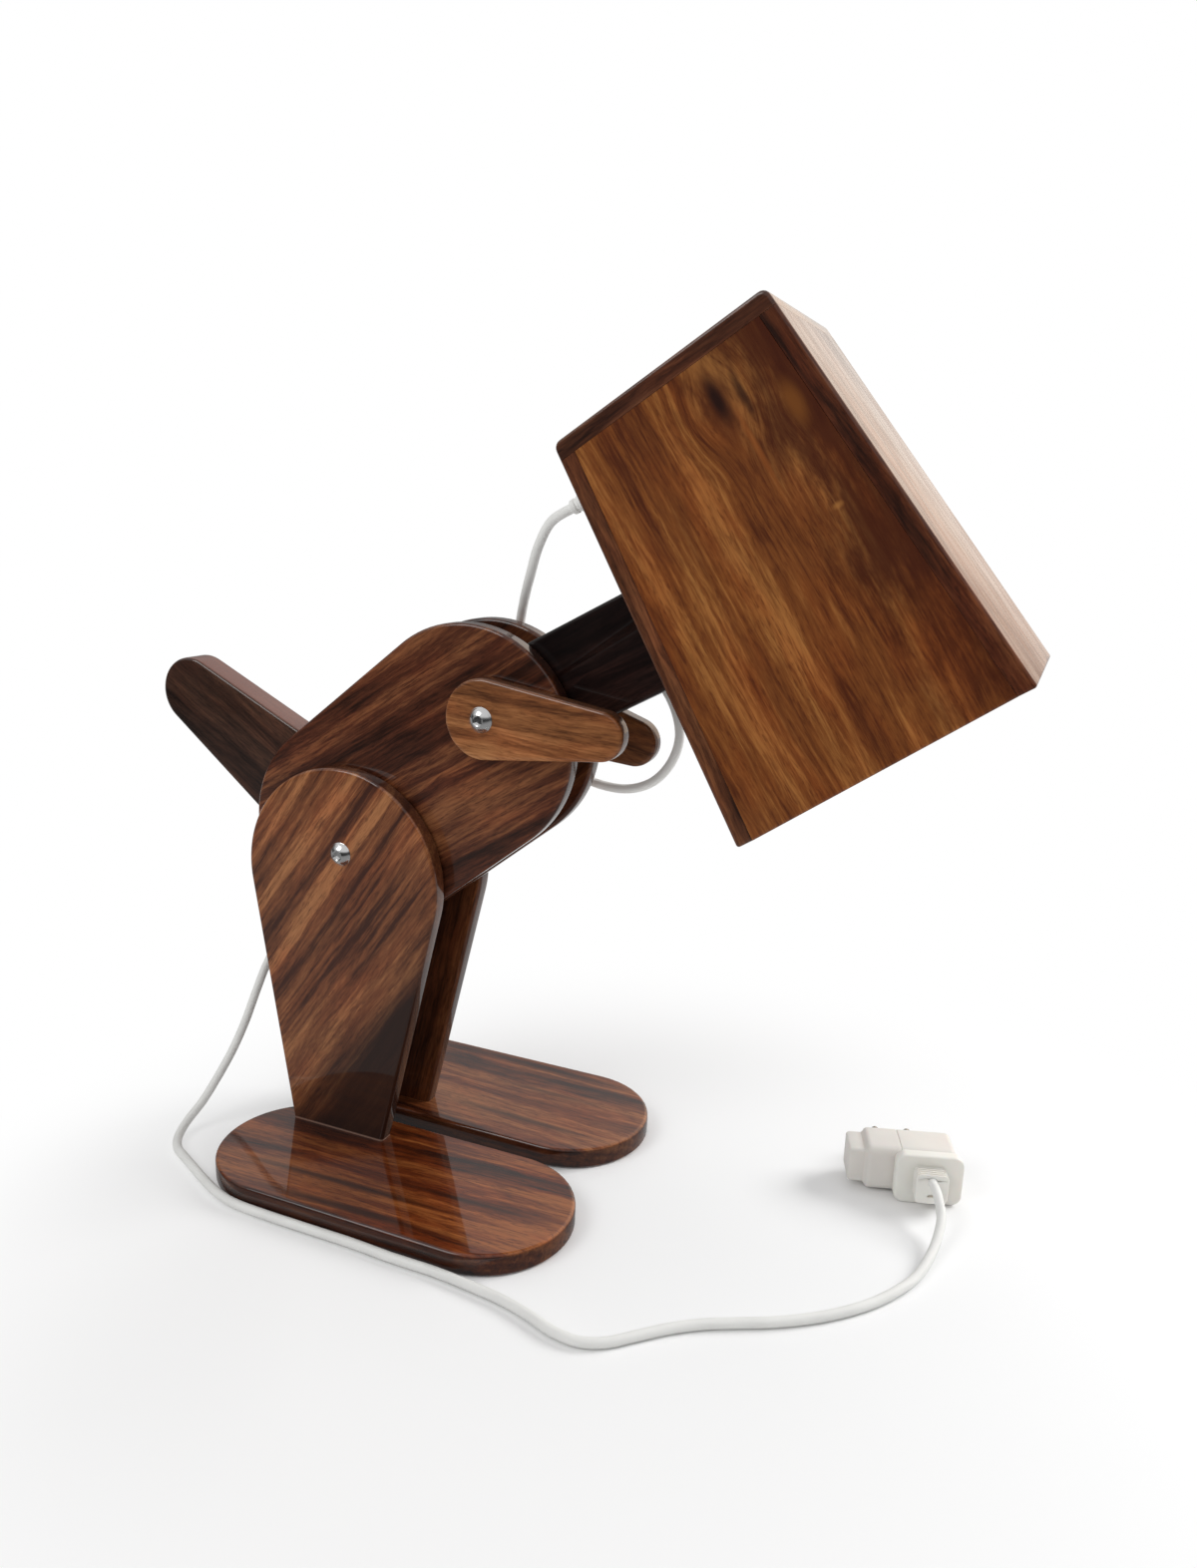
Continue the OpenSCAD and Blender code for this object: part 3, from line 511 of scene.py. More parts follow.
def make_wood_group():
    """Sawn wood: X of the vector runs along the grain, Y across the face and Z into it, in
    metres. The yearly rings are circles round a pith that lies behind the board, bent by slow
    noise, and coloured by noise along their radius, so that the streaks follow them."""
    tree = bpy.data.node_groups.new("sawn_wood", "ShaderNodeTree")
    for way, sockets in (("INPUT", {"Vector": "Vector", "Dark": "Color", "Middle": "Color",
                                    "Light": "Color", "Bands": "Float", "Streaks": "Float"}),
                         ("OUTPUT", {"Color": "Color", "Height": "Float"})):
        for key, kind in sockets.items():
            tree.interface.new_socket(key, in_out=way, socket_type="NodeSocket" + kind)
    s = Shade(tree)
    i, o = tree.nodes.new("NodeGroupInput").outputs, tree.nodes.new("NodeGroupOutput").inputs
    v, dark = i["Vector"], i["Dark"]

    def wander(factors, amount):
        """Slow noise that pushes the grain aside by up to half this amount."""
        push = s.node("TexNoise", {"Vector": s.stretched(v, factors), "Scale": 1.0,
                                   "Detail": 2.0}).outputs["Color"]
        return s.vector("SCALE", s.vector("SUBTRACT", push, (0.5, 0.5, 0.5)), scale=amount)
    bent = s.vector("ADD", s.vector("ADD", v, wander((3.2, 13, 13), 0.012)),
                    wander((24, 90, 90), 0.003))
    parts = s.axes(bent)
    deep = s.math("ADD", parts["Z"], PITH)
    radius = s.math("SQRT", s.math("ADD", s.math("MULTIPLY", parts["Y"], parts["Y"]),
                                   s.math("MULTIPLY", deep, deep)))
    face = s.math("MULTIPLY_ADD", parts["Y"], 0.55, radius)
    wide = s.noise(face, 62, flat=True)
    ring = s.noise(face, 260, 2, 0.55, flat=True)
    streak = s.grain(bent, (6, 150, 110), 3, 0.6)
    mottle = s.grain(bent, (24, 330, 240), 3, 0.6)
    mood = s.grain(v, (9, 20, 20), 1)
    hair = s.grain(bent, (75, 760, 540), 3, 0.65)
    tone = s.math("MULTIPLY", wide, i["Bands"])
    for part, share in ((ring, 0.12), (streak, 0.26), (mottle, 0.2), (mood, 0.3), (hair, 0.16)):
        tone = s.math("MULTIPLY_ADD", part, share, tone)
    # half of all the shares is taken off, so that 0 is a board of middling colour
    tone = s.math("SUBTRACT", tone, s.math("MULTIPLY_ADD", i["Bands"], 0.5, 0.52))
    colour = s.mix(s.span(tone, -0.01, 0.125),
                   s.mix(s.span(tone, -0.115, 0.015), dark, i["Middle"]), i["Light"])
    # the wood reddens in patches
    patch = s.grain(v, (16, 55, 55), 2, 0.6)
    colour = s.mix(s.span(patch, 0.4, 0.7), colour, (1.06, 0.91, 0.87, 1.0), "MULTIPLY")
    # dark veins where the streaks bunch up
    vein = s.math("MULTIPLY", s.span(wide, 0.46, 0.34), s.span(ring, 0.42, 0.6))
    colour = s.mix(s.math("MULTIPLY", vein, i["Streaks"]), colour, dark)
    # fine pores: short dark dashes along the grain
    dash = s.span(s.grain(bent, (210, 1500, 1200), 1), 0.53, 0.68)
    dash = s.math("MULTIPLY", s.math("MULTIPLY", dash, s.span(mottle, 0.62, 0.42)), 0.6)
    colour = s.mix(dash, colour, s.mix(0.8, colour, dark))
    # hair-fine lines in between
    colour = s.mix(s.span(hair, 0.6, 0.34, 0.0, 0.4), colour, s.mix(0.6, colour, dark))
    s.put(colour, o["Color"])
    s.put(s.math("MULTIPLY_ADD", dash, -0.5, s.math("MULTIPLY", hair, 0.2)), o["Height"])
    return tree


WOOD = make_wood_group()
mats = {}


def new_material(name, numbers):
    """A material whose shader has these numbers on its own sockets: gives its Shade, its
    shader and the point in space."""
    m = mats[name] = bpy.data.materials.new(name)
    m.use_nodes = True
    m.node_tree.nodes.clear()
    s = Shade(m.node_tree)
    bsdf = s.node("BsdfPrincipled", numbers)
    s.node("OutputMaterial", {"Surface": bsdf.outputs[0]})
    return s, bsdf, s.node("TexCoord").outputs["Object"]


def in_plane(degrees):
    """A direction in the lamp's side view, degrees above forward."""
    a = math.radians(degrees)
    return (math.cos(a), 0, math.sin(a))


def grain_turn(along, out):
    """The turn that takes 'along' to X and the face's outward direction to Z."""
    x = Vector(along).normalized()
    z = Vector(out)
    z = (z - x * z.dot(x)).normalized()
    return Matrix((x, z.cross(x), z))


def spot(s, v, x, y, long, wide):
    """How near v is to an oval on the face, in millimetres along and across the grain: 1 at its
    middle and 0 at its rim."""
    at = s.vector("SUBTRACT", v, (x * MM, y * MM, 0))
    at = s.vector("MULTIPLY", at, (1 / long / MM, 1 / wide / MM, 0))
    return s.span(s.vector("LENGTH", at), 1.0, 0.15)


def round_knots(s, v, knots):
    """Each knot pushes the grain aside: near it the position across the grain is drawn in."""
    for x, y, long, wide, bend in knots:
        near = spot(s, v, x, y, long, wide)
        off = s.vector("SUBTRACT", v, (0, y * MM, 0))
        push = s.vector("SCALE", s.vector("MULTIPLY", off, (0, -bend, 0)), scale=near)
        v = s.vector("ADD", v, push)
    return v


def wood(name, tones, along, out, at, bands=0.3, streaks=0.3, knots=(), figure=None,
         lacquer=1.0, thick=None, rim_tone=None, thin=0.0):
    """Lacquered wood in a dark, a middle and a light tone. Its grain runs 'along', a direction
    or an angle in the lamp's side view, on a face that looks 'out', and 'at' is the point in
    millimetres that the pattern is counted from. The rim of a plate 'thick' deep shows its end
    grain, which is dark unless it has a tone of its own. The lacquer wears thin along the grain
    and toward the board's lower end by the share 'thin'."""
    dark, middle, light = (srgb(*t) for t in tones)
    s, bsdf, where = new_material(name, {
        "Specular IOR Level": 0.08, "Coat Weight": lacquer, "Coat Roughness": 0.04,
        "Coat IOR": 1.5})
    turn = grain_turn(in_plane(along) if np.isscalar(along) else along, out)
    v = s.node("Mapping", {"Vector": where, "Rotation": turn.to_euler(),
                           "Location": -(turn @ Vector(place(at)))}).outputs[0]
    g = s.node("Group", {
        "Vector": round_knots(s, v, knots), "Dark": dark, "Middle": middle, "Light": light,
        "Bands": bands, "Streaks": streaks}, node_tree=WOOD)
    colour = g.outputs["Color"]
    if thick:
        deep = s.math("ABSOLUTE", s.math("ADD", s.axes(v)["Z"], thick / 2 * MM))
        rim = s.span(deep, (thick / 2 - 0.5) * MM, (thick / 2 - 1.7) * MM, 0.0, 0.62)
        colour = s.mix(rim, colour, srgb(*rim_tone) if rim_tone else dark)
    if figure:
        colour = figure(s, v, where, colour, dark)
    s.put(colour, bsdf.inputs["Base Color"])
    s.bump(g.outputs["Height"], 0.1, 0.0001, bsdf.inputs["Normal"])
    smear = s.grain(where, (25, 25, 25))
    s.put(s.span(smear, 0.3, 0.7, 0.4, 0.55), bsdf.inputs["Roughness"])
    if thin:
        down = s.span(s.axes(v)["X"], -0.16, 0.06, 1.0, 0.0)
        worn = s.math("MULTIPLY", s.span(s.grain(v, (26, 150, 150), 3, 0.6), 0.35, 0.65),
                      thin / 2)
        s.put(s.math("SUBTRACT", lacquer, s.math("MULTIPLY_ADD", down, thin, worn)),
              bsdf.inputs["Coat Weight"])
    s.bump(s.grain(where, (60, 60, 60), 2), 0.05, 0.0004, bsdf.inputs["Coat Normal"])


def plain(name, colour, rough, metal=0.0, coat=0.0, bump=0.0, grain=900, vary=0.06,
          subsurface=0.0):
    """A plain moulded or turned finish: the colour drifts a little over the surface, the
    roughness with it, and a fine grain lifts the surface."""
    s, bsdf, where = new_material(name, {
        "Metallic": metal, "Coat Weight": coat, "IOR": 1.5, "Subsurface Weight": subsurface})
    colour = srgb(*colour)
    s.put(s.mix(s.span(s.noise(where, 45, 3), 0.3, 0.75), darkened(colour, 1 - vary * 3),
                colour), bsdf.inputs["Base Color"])
    s.put(s.span(s.noise(where, 160), 0.3, 0.7, rough * 0.8, rough * 1.25),
          bsdf.inputs["Roughness"])
    s.bump(s.noise(where, grain), bump, 0.0001, bsdf.inputs["Normal"])


def heel_shade_and_highlight(s, v, where, colour, dark):
    """The leg's lower front corner is darker along the grain: partly dark heartwood, partly
    painted shade where the leg stands over its foot. A thin pale line where the leg meets its
    foot is a painted highlight of the lacquer in that joint."""
    # painted shade over dark heartwood: the lower front corner darkens toward the foot
    edge = s.math("MULTIPLY_ADD", s.grain(v, (12, 60, 60)), 0.03, s.axes(v)["Y"])
    colour = s.mix(s.span(edge, 0.07, 0.034, 0.0, 0.95), colour, darkened(dark, 0.4))
    # painted highlight: a pale line where the leg meets its foot
    base_highlight = s.span(s.axes(where)["Z"], 0.0139, 0.0132, 0.0, 0.55)
    return s.mix(base_highlight, colour, srgb(176, 140, 124))


def marks(*spots):
    """A figure of ovals along the grain: where each lies, its size, its tone and how much of
    it shows. With no tone it takes the wood's own dark."""
    def figure(s, v, where, colour, dark):
        for x, y, long, wide, tone, much in spots:
            seen = s.math("MULTIPLY", spot(s, v, x, y, long, wide), much)
            colour = s.mix(seen, colour, srgb(*tone) if tone else dark)
        return colour
    return figure


panel_marks = marks(
    (-46, -45, 15, 6, (150, 92, 36), 0.4), (-28, -17.5, 27, 9, None, 0.85),
    (-27, -17.5, 15, 4.6, (34, 13, 9), 0.95), (-31, -28, 15, 3, (40, 14, 8), 0.85),
    (-54, -22.5, 30, 2.2, (150, 84, 36), 0.55), (-66, -50, 9, 5, None, 0.7),
    (-92, -40, 2.2, 3.6, (176, 118, 60), 0.5))


def panel_figure(s, v, where, colour, dark):
    """Figure of the right panel: dark toward its upper front corner, a knot with a vein beside
    it, a light patch and a small light mark."""
    parts = s.axes(v)
    lean = s.math("MULTIPLY_ADD", parts["X"], 0.24, s.math("MULTIPLY", parts["Y"], -1))
    cloud = s.grain(v, (22, 70, 60), 4, 0.65)
    lean = s.math("ADD", lean, s.span(cloud, 0.25, 0.75, -0.036, 0.036, False))
    colour = s.mix(s.span(lean, -0.014, 0.034, 0.0, 0.86), colour, srgb(64, 24, 8))
    return panel_marks(s, v, where, colour, dark)


NEAR, FAR, ABOVE = (0, -1, 0), (0, 1, 0), (0, 0, 1)
UP_HEAD = HEAD_TURN + 90
PANEL = (76, 34, 13), (122, 69, 29), (160, 106, 54)
wood("leg_right_wood", ((60, 29, 17), (120, 71, 42), (164, 109, 68)), 54, NEAR, (0, -30.6, 0),
     figure=heel_shade_and_highlight, thick=PLATE_T)
# The far leg's tones are darker than the near leg's: partly its own tone, partly painted shade of
# the far side.
wood("leg_left_wood", ((40, 19, 11), (88, 49, 28), (126, 78, 46)), 75, NEAR, (40, 20.6, 60),
     thick=PLATE_T)
# The feet's rim tones are near black: partly the dark of end grain, partly painted shade on the
# low rims that stand in shadow by the floor.
wood("foot_right_wood", ((32, 12, 6), (102, 47, 18), (150, 88, 44)), (1, 0.03, 0), ABOVE,
     (0, -54, FOOT_T), 0.42, 0.6, thick=FOOT_T, rim_tone=(22, 8, 4), figure=marks(
         # the first, broad oval is painted shade: the leg's shadow and its dark reflection on the
         # foot's middle, over somewhat darker wood
         (28, -10, 80, 70, (48, 15, 5), 0.5), (30, -22, 110, 4, None, 0.85),
         (95, -9, 60, 3.5, None, 0.8), (45, -41, 95, 5, None, 0.9)))
# this foot's near-black rim tone is also partly painted shade
wood("foot_left_wood", ((42, 17, 9), (110, 58, 30), (152, 96, 56)), (1, -0.04, 0), ABOVE,
     (30, 60, FOOT_T), 0.42, 0.6, thick=FOOT_T, rim_tone=(30, 11, 6), figure=marks(
         (40, 36, 85, 5, None, 0.85), (60, 8, 60, 3.5, None, 0.6), (60, -28, 70, 4, None, 0.8)))
for name, tones, along, out, at, more in (
        ("body_right", ((38, 18, 11), (84, 44, 27), (134, 84, 52)), 32, NEAR, (60, -19.8, 240),
         {"thick": PLATE_T}),
        ("body_left", ((38, 19, 11), (84, 46, 27), (128, 80, 47)), 40, FAR, (20, 19.8, 200),
         {"thick": PLATE_T}),
        ("tail", ((28, 17, 13), (58, 38, 29), (84, 56, 42)), 147, NEAR, (-60, -9, 230),
         {"thick": CORE_T, "rim_tone": (122, 68, 52)}),
        ("neck", ((14, 8, 8), (28, 16, 14), (46, 28, 24)), NECK_SLOPE, NEAR, (140, -9, 300),
         {"thick": CORE_T, "lacquer": 0.45}),
        ("arm_right", ((72, 39, 20), (136, 86, 50), (172, 118, 74)), -4, NEAR,
         (100, -30.6, 270), {"thick": PLATE_T, "bands": 0.14}),
        ("arm_left", ((60, 32, 17), (112, 68, 38), (150, 98, 58)), -14, NEAR, (120, 20.6, 250),
         {"thick": PLATE_T, "bands": 0.14}),
        ("head_top", ((34, 16, 10), (76, 43, 27), (108, 68, 45)), HEAD_TURN, NEAR,
         (180, -54, 440), {}),
        ("head_back", ((40, 20, 12), (86, 49, 29), (124, 78, 48)), UP_HEAD - TAPER, NEAR,
         (190, -54, 320), {}),
        ("head_front", ((36, 16, 9), (80, 40, 22), (116, 70, 42)), UP_HEAD + TAPER, NEAR,
         (300, -54, 400), {"bands": 0.2, "thin": 0.5}),
        ("panel_right", PANEL, UP_HEAD, NEAR, in_head(np.array([0.0, -54.0, 0.0])), {
            "bands": 0.28, "figure": panel_figure,
            "knots": ((-30, -17, 34, 26, 0.75), (-46, -46, 22, 16, 0.4))}),
        ("panel_left", PANEL, UP_HEAD, FAR, (260, 54, 330), {"bands": 0.26})):
    wood(name + "_wood", tones, along, out, at, **more)
plain("bolt_chrome", (238, 238, 238), 0.16, metal=1.0, vary=0.02)
plain("screw_steel", (150, 150, 150), 0.3, metal=1.0)
plain("washer_nylon", (205, 198, 182), 0.42, vary=0.05)
plain("holder_plastic", (216, 212, 204), 0.32, vary=0.03, bump=0.1)
plain("contact_brass", (196, 158, 84), 0.3, metal=1.0)
plain("bulb_metal", (190, 190, 186), 0.24, metal=1.0, vary=0.04)
plain("bulb_opal", (236, 233, 226), 0.16, coat=0.6, subsurface=0.25, vary=0.015)
plain("cord_white", (236, 236, 233), 0.42, vary=0.02, bump=0.1, grain=1500)
# The plug is one white plastic in two copies: the body's darker copy is painted shade on its
# sides, and the clamp and flange's lighter copy is painted light on the faces turned to the lamps.
plain("plug_white", (222, 218, 212), 0.38, vary=0.015, bump=0.12, subsurface=0.06)
plain("plug_face_white", (238, 235, 228), 0.38, vary=0.015, bump=0.12, subsurface=0.06)
plain("pin_metal", (186, 182, 170), 0.22, metal=1.0, vary=0.04)


def dress(piece, body, node, slot, mat=None):
    """A piece gets the material named by its slot where no other is given, and rides its body
    if it has one; the CAD node that it stands for is hidden."""
    piece.data.materials.append(mats[mat or slot])
    if body:
        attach(piece, body)
    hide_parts(node)


# ---- plates

leg_top, ankle = np.array([-1.0, HIP_Z - 14]), np.array([-7.5, 0.0])
FOOT_BODY = {-1: "stand", 1: "left_leg"}


def side_plate(s, name, kind, outline, inner, body, holes, split=None, more=""):
    """One of a pair of plates, whose inner face lies this far from the lamp's middle."""
    low = min(s * inner, s * (inner + PLATE_T))
    holes = [(*at, BORE) for at in holes]
    dress(plate(f"{name}_{kind}_wood", outline, low, low + PLATE_T, standing, holes, split),
          body, f"{name}_{kind}{more}", f"{kind}_wood", f"{kind}_{name}_wood")


def leg_outline(d):
    """A teardrop: the arc of the round top and the two lines that touch it and the ankle's
    circle, cut off level where the leg stands on its foot."""
    heading, lean = touching(leg_top, LEG_R, ankle, ANKLE_R)
    top = arc(leg_top, LEG_R - d, heading + lean, heading + 360 - lean, 73)
    low = [arc(ankle, ANKLE_R - d, heading + s * lean, heading, 2)[0] for s in (1, -1)]
    ends = [t + (l - t) * (t[1] - FOOT_T) / (t[1] - l[1]) for t, l in zip(top[[0, -1]], low)]
    base = run(ends[1], ends[0], np.linspace(0, 1, 13))
    between = np.linspace(0, 1, 14)[1:-1]
    return chain([top, run(top[-1], ends[1], between), base,
                  run(ends[0], top[0], between)])


def screw_spots(s):
    """Where a foot's two screws stand."""
    return [(ankle[0] + x, s * 25.6) for x in (-16, 16)]


body_out, body_split = stadium(*(hip + turned((x, 10), BODY_TURN) for x in (4, 101)), BODY_R,
                               (0.25, 0.5, 0.75))
for s, name in SIDES:
    side_plate(s, name, "body", body_out, PLATE_IN, "torso", (hip, shoulder), body_split,
               "_plate")
toe, heel = FOOT_X + FOOT_REACH, FOOT_X - FOOT_REACH
mark = (ankle[0] - heel) / (toe - heel)
for s, name in SIDES:
    side_plate(s, name, "leg", leg_outline, SIDE_IN, FOOT_BODY[s], (hip,))
    out, split = stadium((heel, s * FOOT_Y), (toe, s * FOOT_Y), FOOT_R, (mark / 2, mark, 0.5))
    dress(plate(f"{name}_foot_wood", out, 0, FOOT_T, lying, (), split,
                [(*at, 4.1) for at in screw_spots(s)]),
          FOOT_BODY[s], f"{name}_foot", "foot_wood", f"foot_{name}_wood")


def neck_outline(d):
    """Half a circle round the shoulder bolt and two straight sides, cut off square."""
    half = arc((0, 0), NECK_R - d, 90, 270, 49)
    end = np.array([[NECK_L, half[-1, 1]], [NECK_L, half[0, 1]]])
    between = np.linspace(0, 1, 12)
    loop = chain([half, run(half[-1], end[0], between[1:]),
                  run(end[0], end[1], between[1:]), run(end[1], half[0], between[1:-1])])
    return shoulder + turned(loop, NECK_SLOPE)


tail_out = tapered(hip, TAIL_R, hip + turned((TAIL_L, 0), TAIL_RISE), TAIL_TIP_R)
for name, body, outline, at in (("neck", "head", neck_outline, shoulder),
                                ("tail", "tail", tail_out, hip)):
    dress(plate(f"{name}_made", outline, -HALF_CORE, HALF_CORE, standing, [(*at, BORE)]),
          body, name, f"{name}_wood")
for (s, name), dip in zip(SIDES, (1.5, 12.5)):
    tip = shoulder + turned((ARM_L, 0), -dip)
    side_plate(s, name, "arm", tapered(shoulder, ARM_R, tip, ARM_TIP_R), SIDE_IN,
               f"{name}_arm", (shoulder,))

# ---- head

JOINT = 0.09                # share of the rounding that a glued joint keeps
half_w = HEAD_W / 2


def head_board(name, corners, shares, radii, low=-half_w, high=half_w, e=1.6, kind="board"):
    """A board of the head, from its outline in the head's frame, low to high along Y."""
    slot, mat = {"board": ("head_frame_wood", f"head_{name}_wood"),
                 "panel": ("head_panel_wood", f"panel_{name}_wood")}[kind]
    dress(plate(f"head_{name}", board_outline(corners, shares, radii), low, high,
                lambda p, y: in_head(standing(p, y)), e=e),
          "head", f"head_{name}_{kind}", slot, mat)


board_x = BOARD / cos_t
high_x, low_x = side_x(-BOARD), side_x(0)
head_board("top", [(-high_x, -BOARD), (high_x, -BOARD), (low_x, 0), (-low_x, 0)],
           [JOINT, 1, 1, 1], [0.2, 0.2, 4, 4])
for s, name, low in ((-1, "back", -HEAD_H), (1, "front", -FRONT_H)):
    pts = [(s * side_x(z, i), z) for z, i in
           ((-BOARD, board_x), (low, board_x), (low, 0), (-BOARD, 0))]
    shares, radii = [JOINT, 1, 1, JOINT], [0.1, 0.3, 1.4, 0.1]
    if s < 0:
        pts, shares, radii = pts[::-1], [1, 1, JOINT, JOINT], [0.1, 1.4, 0.3, 0.1]
    head_board(name, pts, shares, radii)
a, b, c = (side_x(-h, board_x) for h in (BOARD, HEAD_H, FRONT_H))
for s, name in SIDES:
    low = min(s * half_w, s * (half_w - BOARD))
    head_board(name, [(-b, -HEAD_H), (c, -FRONT_H), (a, -BOARD), (-a, -BOARD)],
               [1, JOINT, JOINT, JOINT], [0.1] * 4, low, low + BOARD, 1.2, "panel")

# ---- bolts, nuts and screws


def bolt(name, at, node):
    """A domed bolt with a hexagon socket: the dome is part of a ball, and the socket's rings
    are hexagons that open into it over a small chamfer."""
    r, h, socket, deep = 6.8, 3.9, 4.6, 2.4
    ball = (r * r + h * h) / 2 / h
    rim = socket / 2 / math.cos(math.pi / 6) + 0.35
    dome = [(x, ball - math.sqrt(ball**2 - x**2) - h) for x in np.linspace(rim, r - 0.25, 10)]
    length = 2 * SIDE_OUT + 5.5
    profile = [(0, deep - h), (KEYED, deep - h), (KEYED, dome[0][1] + 0.3), *dome,
               (r, dome[-1][1] + 0.2), (r, 0), (3, 0), (3, length - 0.6), (2.5, length),
               (0, length)]
    dress(lathe(name, profile, lambda p: along_y(p, at, -SIDE_OUT), 96, (6, socket)),
          "torso", node, "bolt_chrome")


def cap_nut(name, at, node):
    """A domed cap nut: a hexagon and a ball on it."""
    flats, h, ball = 10, 5.5, 4.6
    profile = [(0, 4), (BORE, 4), (BORE, 0), (4.7, 0), (KEYED, 0.5), (KEYED, h - 0.8), (ball, h),
               *((ball * math.cos(t), h + ball * math.sin(t))
                 for t in np.radians(np.linspace(8, 90, 9)))]
    dress(lathe(name, profile, lambda p: along_y(p, at, SIDE_OUT), 96, (6, flats)),
          "torso", node, "bolt_chrome")


def washer(at, y):
    """A flat ring with softened edges."""
    r, t, e, k = 12, WASHER_T, 0.25, 0.075
    return lathe("washer", [(BORE, t), (BORE, 0), (r - e, 0), (r - k, k), (r, e), (r, t - e),
                            (r - k, t - k), (r - e, t), (BORE, t)],
                 lambda p: along_y(p, at, y), 72)


def wood_screw(to_place, r=2.0, length=38):
    """A countersunk screw, head at z = 0 and point up: a shallow cone with a square drive, and
    a thread that winds round the shank."""
    profile = [(0, r * 0.55), (KEYED, r * 0.5), (KEYED, 0.05), (2 * r - 0.3, 0), (2 * r, 0.12),
               (r, r), *((WOUND, r + z) for z in np.linspace(0, length - 2.5 * r, 90)),
               (0, length)]
    return lathe("screw", profile, to_place, 32, (4, 0.9 * r), (0.88 * r, 0.12 * r, 1.6))


for make, kind, node in ((bolt, "bolt", "bolt"), (cap_nut, "nut", "cap_nut")):
    for name, at in (("hip", hip), ("shoulder", shoulder)):
        make(f"{name}_{kind}_chrome", at, f"{name}_{node}")
dress(joined("friction_washers_nylon", [washer(at, y) for at in (hip, shoulder)
                                        for y in (-SIDE_IN, -PLATE_IN, HALF_CORE, PLATE_OUT)]),
      "torso", "friction_washers", "washer_nylon")
for s, name in SIDES:
    dress(joined(f"{name}_foot_screws_steel",
                 [wood_screw(lambda p, at=at: p + (*at, 0)) for at in screw_spots(s)]),
          FOOT_BODY[s], f"{name}_foot_screws", "screw_steel")
dress(joined("neck_screws_steel", [
    wood_screw(lambda p, k=k: on_back(p + (0, 0, -BOARD - 0.15), NECK_DROP + k * 13))
    for k in (-1, 1)]), "head", "neck_screws", "screw_steel")

# ---- lampholder and bulb

holder_top = -BOARD - 5
bore_top = holder_top - 12
cap_top = bore_top - 3
cap_end = cap_top - 26
holder_low = holder_top - 46
GLOBE_R, NECK_OF_BULB = 30, 13
throat = 84 - GLOBE_R


def rows_at(h, *rows):
    """Rows of a profile whose heights are counted from h."""
    return [(r, h + z) for r, z in rows]


rib = zip(0.35 * np.cos(np.linspace(0, 2 * np.pi * 9, 90)),
          np.linspace(holder_top - 3, holder_low + 9, 90))
k = np.linspace(0, 1, 28)
globe = np.radians(np.linspace(2, 90, 26))
swell = NECK_OF_BULB + (GLOBE_R - NECK_OF_BULB) * (1 - np.cos(np.pi * k)) / 2
for name, profile, n, thread, node, slot in (
        ("lampholder_flange", [*rows_at(holder_top, (0, 0), (25.8, 0), (27, 1.4)),
                               (27, -BOARD), (0, -BOARD)],
         96, None, "lampholder_base", "holder_plastic"),
        ("lampholder_sleeve", [
            *rows_at(holder_top, (0, 0), (19.2, 0), (20, -0.8)),
            *((19.6 + swing, h) for swing, h in rib),
            *rows_at(holder_low, (20, 6), (20.8, 5.2), (21, 4.6), (21, 0.6), (20.4, 0),
                     (14.2, 0), (13.7, 0.6)),
            *rows_at(bore_top, (13.7, 0), (0, 0))],
         96, None, "lampholder_shell", "holder_plastic"),
        ("lampholder_contact_brass", rows_at(bore_top, (0, 0), (5, 0), (5, -1.1), (4.6, -1.5),
                                             (0, -1.5)),
         48, None, "lampholder_contact", "contact_brass"),
        ("bulb_cap_metal", [
            *rows_at(cap_top, (0, 1.5), (3, 1.5), (3.5, 1.2), (4.5, 0), (11, -2)),
            *((WOUND, h) for h in np.linspace(cap_top - 4.2, cap_end + 1.2, 120)),
            (NECK_OF_BULB, cap_end), (0, cap_end)],
         96, (12.4, 0.6, 3.6), "bulb_cap", "bulb_metal"),
        ("bulb_globe", chain([
            [(0, cap_end)], np.stack([swell, cap_end - throat * k], -1),
            np.stack([GLOBE_R * np.cos(globe), cap_end - throat - GLOBE_R * np.sin(globe)],
                     -1)]), 96, None, "bulb_glass", "bulb_opal")):
    dress(lathe(name, profile, in_head, n, thread=thread or (1, 0, 1)), "head", node, slot)
dress(joined("lampholder_screws_steel", [
    wood_screw(lambda p, k=k: in_head(p + (0, k * 23.4, holder_top - 0.1)), 1.5, 11)
    for k in (-1, 1)]), "head", "lampholder_screws", "screw_steel")

# ---- the cord's bushing


def relief_r(h):
    """The strain relief's radius: it tapers from h = 1.6, and is notched once in each 4 mm."""
    return 5.5 - 1.7 * (h - 1.6) / 24 - (0.55 if 0.35 < (h % 4) / 4 < 0.72 else 0)


CORD_HOLE = GROUND + 0.1
relief = [(CORD_HOLE, -BOARD - 3), (6.6, -BOARD - 3), (7, -BOARD - 2.6), (7, -BOARD),
          (5, -BOARD), (5, 0), (7.2, 0), (7.5, 0.3), (7.5, 1.2), (7.2, 1.6), (5.6, 1.8),
          *((relief_r(h), h) for h in np.linspace(2.4, 24.6, 60)),
          (3.8, 25.3), (3.5, RELIEF_END), (CORD_HOLE, RELIEF_END), (CORD_HOLE, -BOARD - 3)]
inner_lead = [(0, -44), (GROUND, -44), (GROUND, RELIEF_END), (0, RELIEF_END)]
for name, profile, n, node in (("cord_bushing_white", relief, 64, "cord_bushing"),
                               ("cord_inner_lead", inner_lead, 32, "cord_inner")):
    dress(lathe(name, profile, lambda p: on_back(p, CORD_DROP), n), "head", node, "cord_white")

# ---- plug

